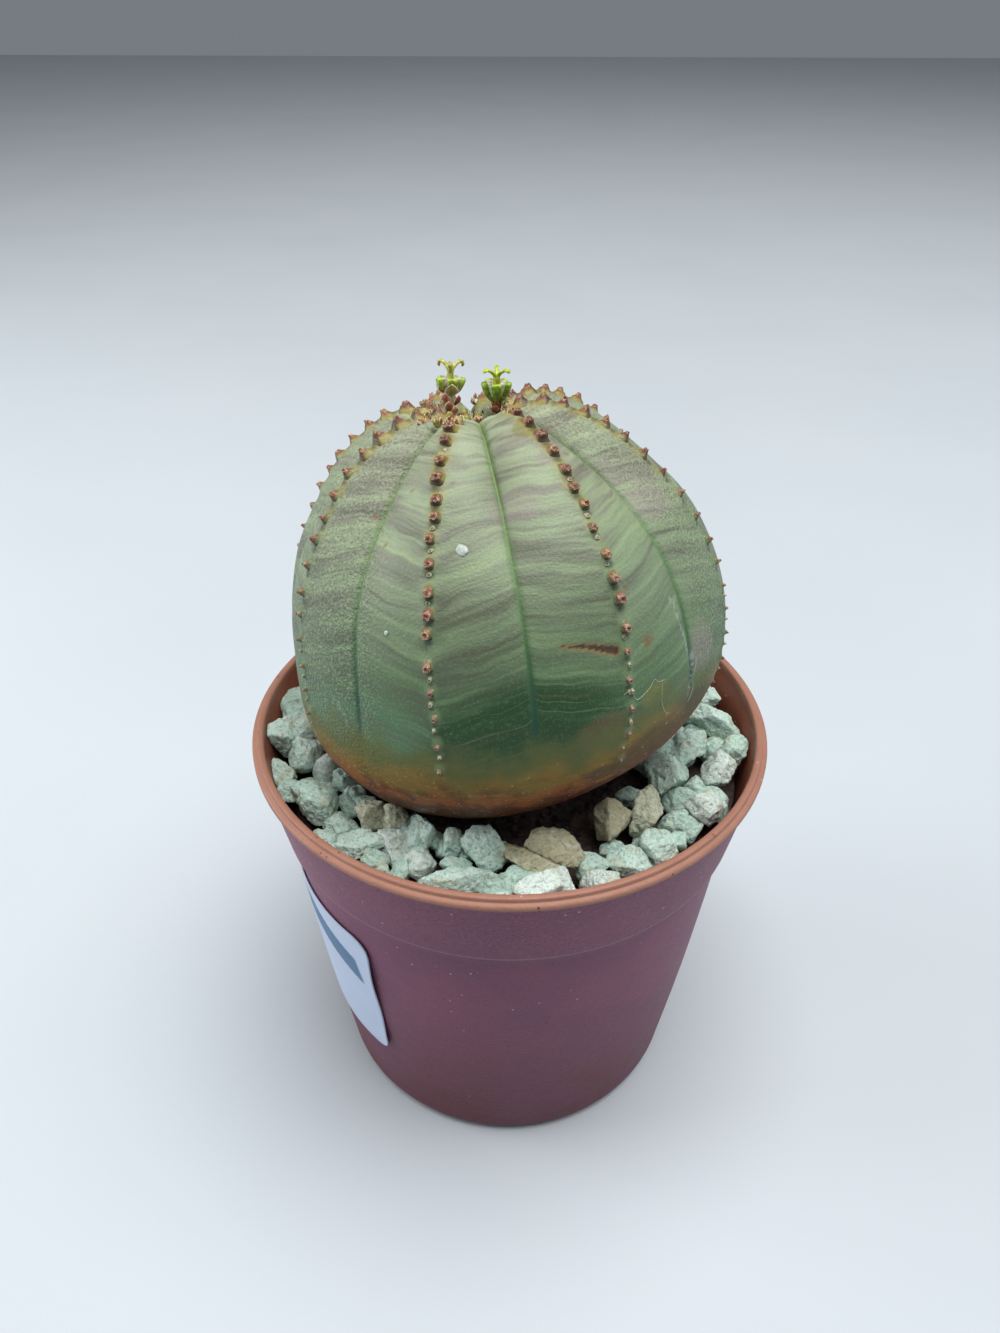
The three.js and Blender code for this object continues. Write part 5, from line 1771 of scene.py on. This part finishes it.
STONE_PLANES = 12
STONE_SHARPNESS = 48
PLANE_REACH = (0.62, 1.0)  # of the planes that cut a stone, against its uncut radius
STONE_CORE = 0.8  # the reach at which a stone is round where no plane cuts it
RIDGES = 0.22
PITS = 0.34
WALL_ROOM = 0.12
# The stones beside the bare soil stand a little higher and are browner.
INNER_REACH = 20.2
INNER_AZIMUTHS = (222, 318)
INNER_STRETCH = 1.16
INNER_RISE = 0.45
STONE_GROWTH = 1.1  # makes up for the corners that the planes cut off
STONE_TONES = {
    "mint": "d6f0e4", "pale": "e6f4ec", "green": "cae8da", "tan": "dcdec2", "brown": "c2bc9c",
}


def rock(directions, rng, sizes):
    """A rounded chunk cut by planes at random, stretched to its sizes."""
    normals = units(rng.normal(size=(STONE_PLANES, 3)))
    reach = rng.uniform(*PLANE_REACH, STONE_PLANES)
    facing = np.maximum(directions @ normals.T, 0) / reach
    power = (facing**STONE_SHARPNESS).sum(axis=1) + STONE_CORE**STONE_SHARPNESS
    radius = power ** (-1 / STONE_SHARPNESS)
    points = directions * radius[:, None]
    half = np.abs(points).max(axis=0)
    return points / half * np.array(sizes) / 2 * STONE_GROWTH


def roughen(points, directions, seed, coarse=0.14, fine=0.11):
    """Adds the stone's grain: broad dents, sharp ridges, fine roughness and small pits."""
    dents = noise_at(points, 1.5, seed)
    ridges = 0.3 - np.abs(noise_at(points, 0.9, seed + 3))
    grain = rough_at(points, 0.5, seed + 1, 3)
    pits = np.maximum(noise_at(points, 0.42, seed + 2) - 0.2, 0)
    height = coarse * dents + RIDGES * ridges + fine * grain - PITS * pits
    return points + directions * height[:, None]


def seat_in_pot(points):
    """Pushes back what would stand in the pot's wall."""
    radius = np.hypot(points[:, 0], points[:, 1])
    limit = np.array([inside_radius(min(z, LIP_FOOT_Z)) for z in points[:, 2]]) - WALL_ROOM
    excess = np.maximum(radius - limit, 0)
    excess = np.where(points[:, 2] > POT_HEIGHT, 0, excess)
    points[:, :2] *= ((radius - excess) / radius)[:, None]
    return points


def is_inner_front(stone):
    azimuth = azimuth_of(stone["x"], stone["y"])
    out = math.hypot(stone["x"], stone["y"])
    return out < INNER_REACH and INNER_AZIMUTHS[0] < azimuth < INNER_AZIMUTHS[1]


def stone_tone(stone, rng):
    names = ("tan", "brown", "mint") if is_inner_front(stone) else ("mint", "pale", "green", "mint")
    base = np.array(srgb(STONE_TONES[names[rng.integers(len(names))]]))
    return base * rng.uniform(0.94, 1.05)


def stone_material():
    shader = Shader("porous_stone", roughness=0.92, specular=0.25)
    place = shader.place()
    tone = shader.vector("tone")
    cloud = place.noise(1.4, 3)
    colour = tone.tint(cloud.step(0.5, 0.72) * 0.5, "c0bc96")
    pale = place.noise(0.8, 3).step(0.52, 0.7)
    colour = colour.tint(pale * 0.35, "dee6d8")
    pores = place.noise(0.4, 4, 0.75)
    # Painted shade: the pores darkened where the relief is lowest.
    dark = pores.step(0.49, 0.38)
    colour = colour.tint(dark * 0.45, "708878")
    grains = place.cells(0.75).step(0.14, 0.08)
    colour = colour.tint(grains * 0.5, "4a5446")
    shader.set("Base Color", colour)
    relief = shader.bump(pores, 0.5)
    shader.bump(place.noise(0.9, 3), 0.3, relief)
    return shader.material


# Stones that lie nearer to the lip than the solid ones: the way in x and y, and the growth.
LIP_STONES = {0: (-0.8, -1.1, 1.14), 2: (-0.5, -0.7, 1.25)}


def add_stones():
    heap, rest = Heap(), Heap()
    rng = np.random.default_rng(SEEDS["stoneLooks"])
    draw = seeded_draw(SEEDS["stoneShapes"])
    levels = {True: ball(5), False: ball(4)}
    for i, stone in enumerate(stone_list()):
        shown = i < len(SHOWN_STONES)
        directions, faces = levels[shown]
        for _ in range(LUMP_CORNERS):
            draw(0, 1)
        tip_x, tip_y = draw(-STONE_TIP, STONE_TIP), draw(-STONE_TIP, STONE_TIP)
        way_x, way_y, growth = LIP_STONES.get(i, (0, 0, 1))
        points = growth * roughen(rock(directions, rng, stone["sizes"]), directions, i)
        turn = rotation(stone["turn"]) @ Matrix.Rotation(tip_y, 3, "Y") @ Matrix.Rotation(tip_x, 3, "X")
        z = BED_TOP_Z - STONE_SINK + stone["sizes"][2] / 2 + stone["lift"]
        if is_inner_front(stone):
            points[:, 2] *= INNER_STRETCH
            z += INNER_RISE
        points = seat_in_pot(points @ np.array(turn).T + (stone["x"] + way_x, stone["y"] + way_y, z))
        (heap if shown else rest).add(points, faces, tone=stone_tone(stone, rng))
    material = stone_material()
    heap.build("stones_front", material, "gravel", "gravel")
    rest.build("stones_back", material, "gravel", "gravel")
    deep = Heap()
    add_deep_stones(deep, rng)
    deep.build("stones_deep", material, "gravel", "gravel")


DEEP_STONES = 210
DEEP_STONE_REACH = (15.2, 23.4)
DEEP_STEM_ROOM = 14.4
DEEP_STONE_ROOM = 1.4  # between the middles of two of them, against their size
DEEP_STONE_SIZES = (2.8, 4.4)
CRESCENT = (268, 320, 19.0)  # azimuths and the distance from the pot's axis where the soil is bare

# Stones that close gaps beside the stem, by the lip and between the front stones: azimuth, distance
# from the pot's axis, height of the middle, and size.
GAP_STONES = [
    (251, 18.1, 44.7, 3.0), (244.5, 17.9, 44.8, 2.9), (237, 18.0, 44.9, 3.0), (229, 18.2, 44.9, 3.1),
    (221, 18.5, 44.9, 3.0), (213.5, 18.8, 44.9, 3.0), (206.5, 19.1, 44.9, 3.0), (258.5, 18.1, 44.5, 2.8),
    (266, 18.2, 44.3, 2.8), (169, 24.2, 45.5, 4.6), (175.5, 23.6, 45.3, 3.6), (204.5, 24.4, 45.1, 2.9),
    (223.5, 24.7, 44.9, 2.6), (237, 23.2, 45.0, 2.7), (256, 20.7, 44.7, 2.9), (290.5, 21.6, 45.0, 3.5),
    (299, 20.3, 44.7, 3.0), (314, 23.4, 45.0, 3.0),
]


def has_room(place, size, others):
    return all(math.dist(place, other) > DEEP_STONE_ROOM + 0.25 * size for other in others)


def add_deep_stone(heap, rng, directions, faces, place, size, seed):
    sizes = size * np.array([1, rng.uniform(0.7, 0.95), rng.uniform(0.6, 0.8)])
    points = roughen(rock(directions, rng, sizes), directions, seed, 0.12, 0.08)
    turn = np.array(Matrix.Rotation(rng.uniform(0, math.pi), 3, "Z"))
    tone = np.array(srgb(STONE_TONES["green"])) * rng.uniform(0.9, 1.04)
    heap.add(seat_in_pot(points @ turn.T + place), faces, tone=tone)


def add_deep_stones(heap, rng):
    """The layer of stones below, which shows in the gaps and near the stem."""
    directions, faces = ball(4)
    places = []
    for i, (azimuth, out, z, size) in enumerate(GAP_STONES):
        places.append(tuple(polar(out, azimuth)[:2]))
        add_deep_stone(heap, rng, directions, faces, polar(out, azimuth, z), size, 900 + i)
    for i in range(DEEP_STONES):
        azimuth = rng.uniform(0, 360)
        out = rng.uniform(*DEEP_STONE_REACH)
        size = rng.uniform(*DEEP_STONE_SIZES)
        x, y, _ = polar(out, azimuth)
        bare = CRESCENT[0] < azimuth < CRESCENT[1] and out < CRESCENT[2]
        if bare or math.hypot(x - ROOT_X, y - ROOT_Y) < DEEP_STEM_ROOM or not has_room((x, y), size, places):
            continue
        places.append((x, y))
        place = polar(out, azimuth, BED_TOP_Z + 0.1 + rng.uniform(-0.4, 0.5))
        add_deep_stone(heap, rng, directions, faces, place, size, 300 + i)


# ---- label

LABEL_SHEET = 0.16
LABEL_STANDOFF = 0.05
LABEL_LIFT = 0.3
LABEL_CURL = 1.2  # how far from its front end the label stands off the wall
LABEL_COLUMNS = 150
LABEL_ROWS = 90
LABEL_MIDDLE_RADIUS = wall_radius((LABEL_TOP_Z + LABEL_FOOT_Z) / 2)
STRIPE = {"azimuths": (200, 228.7), "middle": (29.9, 26.4), "width": 3.7, "slant": 0.5}


def label_material():
    shader = Shader("shaded_label_paper", roughness=0.5, specular=0.4)
    place = shader.place()
    cloud = place.noise(4, 3)
    # Painted shade: the white paper painted bluish grey, as it lies in shade under bluish light.
    paper = cloud.blend("aebbd2", "b8c4d8")
    fibre = place.scaled((1, 1, 3)).noise(0.3, 3)
    paper = paper.tint(fibre.step(0.6, 0.75) * 0.2, "ced2da")
    stripe = cloud.blend("3c6084", "52789a")
    shader.set("Base Color", shader.value("stripe").blend(paper, stripe))
    shader.bump(fibre, 0.015)
    return shader.material


def label_grid():
    """Azimuths of the label's columns, and the heights of its points, column by column."""
    start, end = LABEL_AZIMUTHS
    shares = np.linspace(0, 1, LABEL_COLUMNS)
    width = math.radians(end - start) * LABEL_MIDDLE_RADIUS
    past = np.maximum(LABEL_CORNER - np.minimum(shares, 1 - shares) * width, 0)
    inset = LABEL_CORNER - np.sqrt(LABEL_CORNER**2 - past**2)
    low, high = LABEL_FOOT_Z + inset, LABEL_TOP_Z - inset
    z = low[:, None] + (high - low)[:, None] * np.linspace(0, 1, LABEL_ROWS)
    return mix(start, end, shares)[:, None], z


def label_border():
    """Numbers of the grid's border points, once round."""
    last_column = (LABEL_COLUMNS - 1) * LABEL_ROWS
    border = [*range(0, last_column, LABEL_ROWS)]
    border += range(last_column, last_column + LABEL_ROWS)
    border += range(last_column - 1, LABEL_ROWS - 1, -LABEL_ROWS)
    border += range(LABEL_ROWS - 1, 0, -1)
    return border


def stripe_mask(azimuths, z):
    start, end = STRIPE["azimuths"]
    centre = mix(*STRIPE["middle"], np.clip((azimuths - start) / (end - start), 0, 1))
    slanted = azimuths + STRIPE["slant"] * (z - centre)
    inside = ease(slanted, start, start + 1) * (1 - ease(slanted, end - 0.4, end + 0.4))
    half = STRIPE["width"] / 2
    return (1 - ease(np.abs(z - centre), half - 0.1, half + 0.1)) * inside


def add_label():
    azimuths, z = label_grid()
    edge = (LABEL_AZIMUTHS[1] - azimuths) * math.radians(1) * LABEL_MIDDLE_RADIUS
    lift = LABEL_LIFT * np.exp(-edge / LABEL_CURL) * (0.6 + 0.4 * np.sin(z * 0.5 + 1))
    angle = np.radians(azimuths)
    sides = []
    for thickness in (0, LABEL_SHEET):
        radius = np.vectorize(wall_radius)(z) + LABEL_STANDOFF + lift + thickness
        sides.append(np.stack([radius * np.cos(angle), radius * np.sin(angle), z], -1).reshape(-1, 3))
    count = len(sides[0])
    faces = grid_faces(LABEL_COLUMNS, LABEL_ROWS, closed=False)
    faces += [face[::-1] for face in grid_faces(LABEL_COLUMNS, LABEL_ROWS, count, closed=False)]
    border = label_border()
    faces += [(a, b, b + count, a + count) for a, b in zip(border, border[1:] + border[:1])]
    values = {"stripe": np.tile(stripe_mask(azimuths, z).ravel(), 2)}
    build("label_sheet", np.concatenate(sides), faces, label_material(), "label", values)


# ---- small marks on the skin


# Dried white drops on the front of the stem: azimuth, distance, place between two crests, half sizes.
DROPS = [(264.2, 20.5, 0.21, (0.48, 0.52, 0.1)), (244, 27.5, 0.74, (0.22, 0.18, 0.07))]


def add_drops():
    shader = Shader("dried_drop", roughness=0.35)
    place = shader.place()
    tone = place.noise(0.3, 2)
    shader.set("Base Color", tone.blend("849486", "bec6c0"))
    shader.bump(tone, 0.04)
    heap = Heap()
    for *where, sizes in DROPS:
        spot = Place(*where)
        add_blob(heap, spot.point, frame_of(spot.outward, 35), sizes, ("paper", "cream"), seed=3, rough=0.3)
    heap.build("dried_drops", shader.material, "plant_body", "plant_skin")


# Stray fibres that lie on the skin: azimuth about the stem's axis and distance from the crown.
FIBRE = [
    (297.7, 34.8), (299.5, 34.6), (301.2, 35.7), (304.7, 35.3), (306.5, 34.6), (307.5, 34.9), (309.5, 35),
]
FIBRE_BRANCH = [(308.8, 35.2), (308.6, 36.3), (309.4, 37.4), (310.6, 38.4), (312.2, 38.8)]
HAIR = [(322.7, 35.0), (321.6, 36.8), (322.2, 37.8), (320.6, 39.2)]
STRANDS = ((FIBRE, 0.02), (FIBRE_BRANCH, 0.018), (HAIR, 0.024))  # with the radius of each
STRAND_STEPS = 60


def add_tube(heap, path, radius, columns=6):
    angles = circle(columns)[:, None]
    heading = units(np.gradient(path, axis=0))
    side = units(np.cross(heading, (0.3, 0.2, 1)))
    other = np.cross(heading, side)
    rings = path[:, None] + radius * (np.cos(angles) * side[:, None] + np.sin(angles) * other[:, None])
    heap.add(*capped_grid(rings, path[0], path[-1]))


def add_fibre():
    shader = Shader("fibre", roughness=0.5)
    tone = shader.place().noise(0.5, 2)
    shader.set("Base Color", tone.blend("8c9682", "bac2b2"))
    heap = Heap()
    first, second = RIB_AZIMUTHS[6:8]
    lift = 0.1 + 0.08 * np.sin(np.linspace(0, 9, STRAND_STEPS))
    for line, radius in STRANDS:
        places = spline(np.array(line, float), np.linspace(0, 1, STRAND_STEPS))
        fractions = np.clip((places[:, 0] - first) / (second - first), 0, 1)
        add_tube(heap, stem_points(places[:, 0], fractions, places[:, 1], lift), radius)
    heap.build("stray_fibre", shader.material, "plant_body", "plant_skin")


# ---- scene

add_camera()
add_lights()
add_floor()
add_pot()
add_soil()
add_stones()
add_stem()
add_root()
add_teeth()
add_buds()
add_flowers()
add_label()
add_drops()
add_fibre()

bpy.context.view_layer.update()
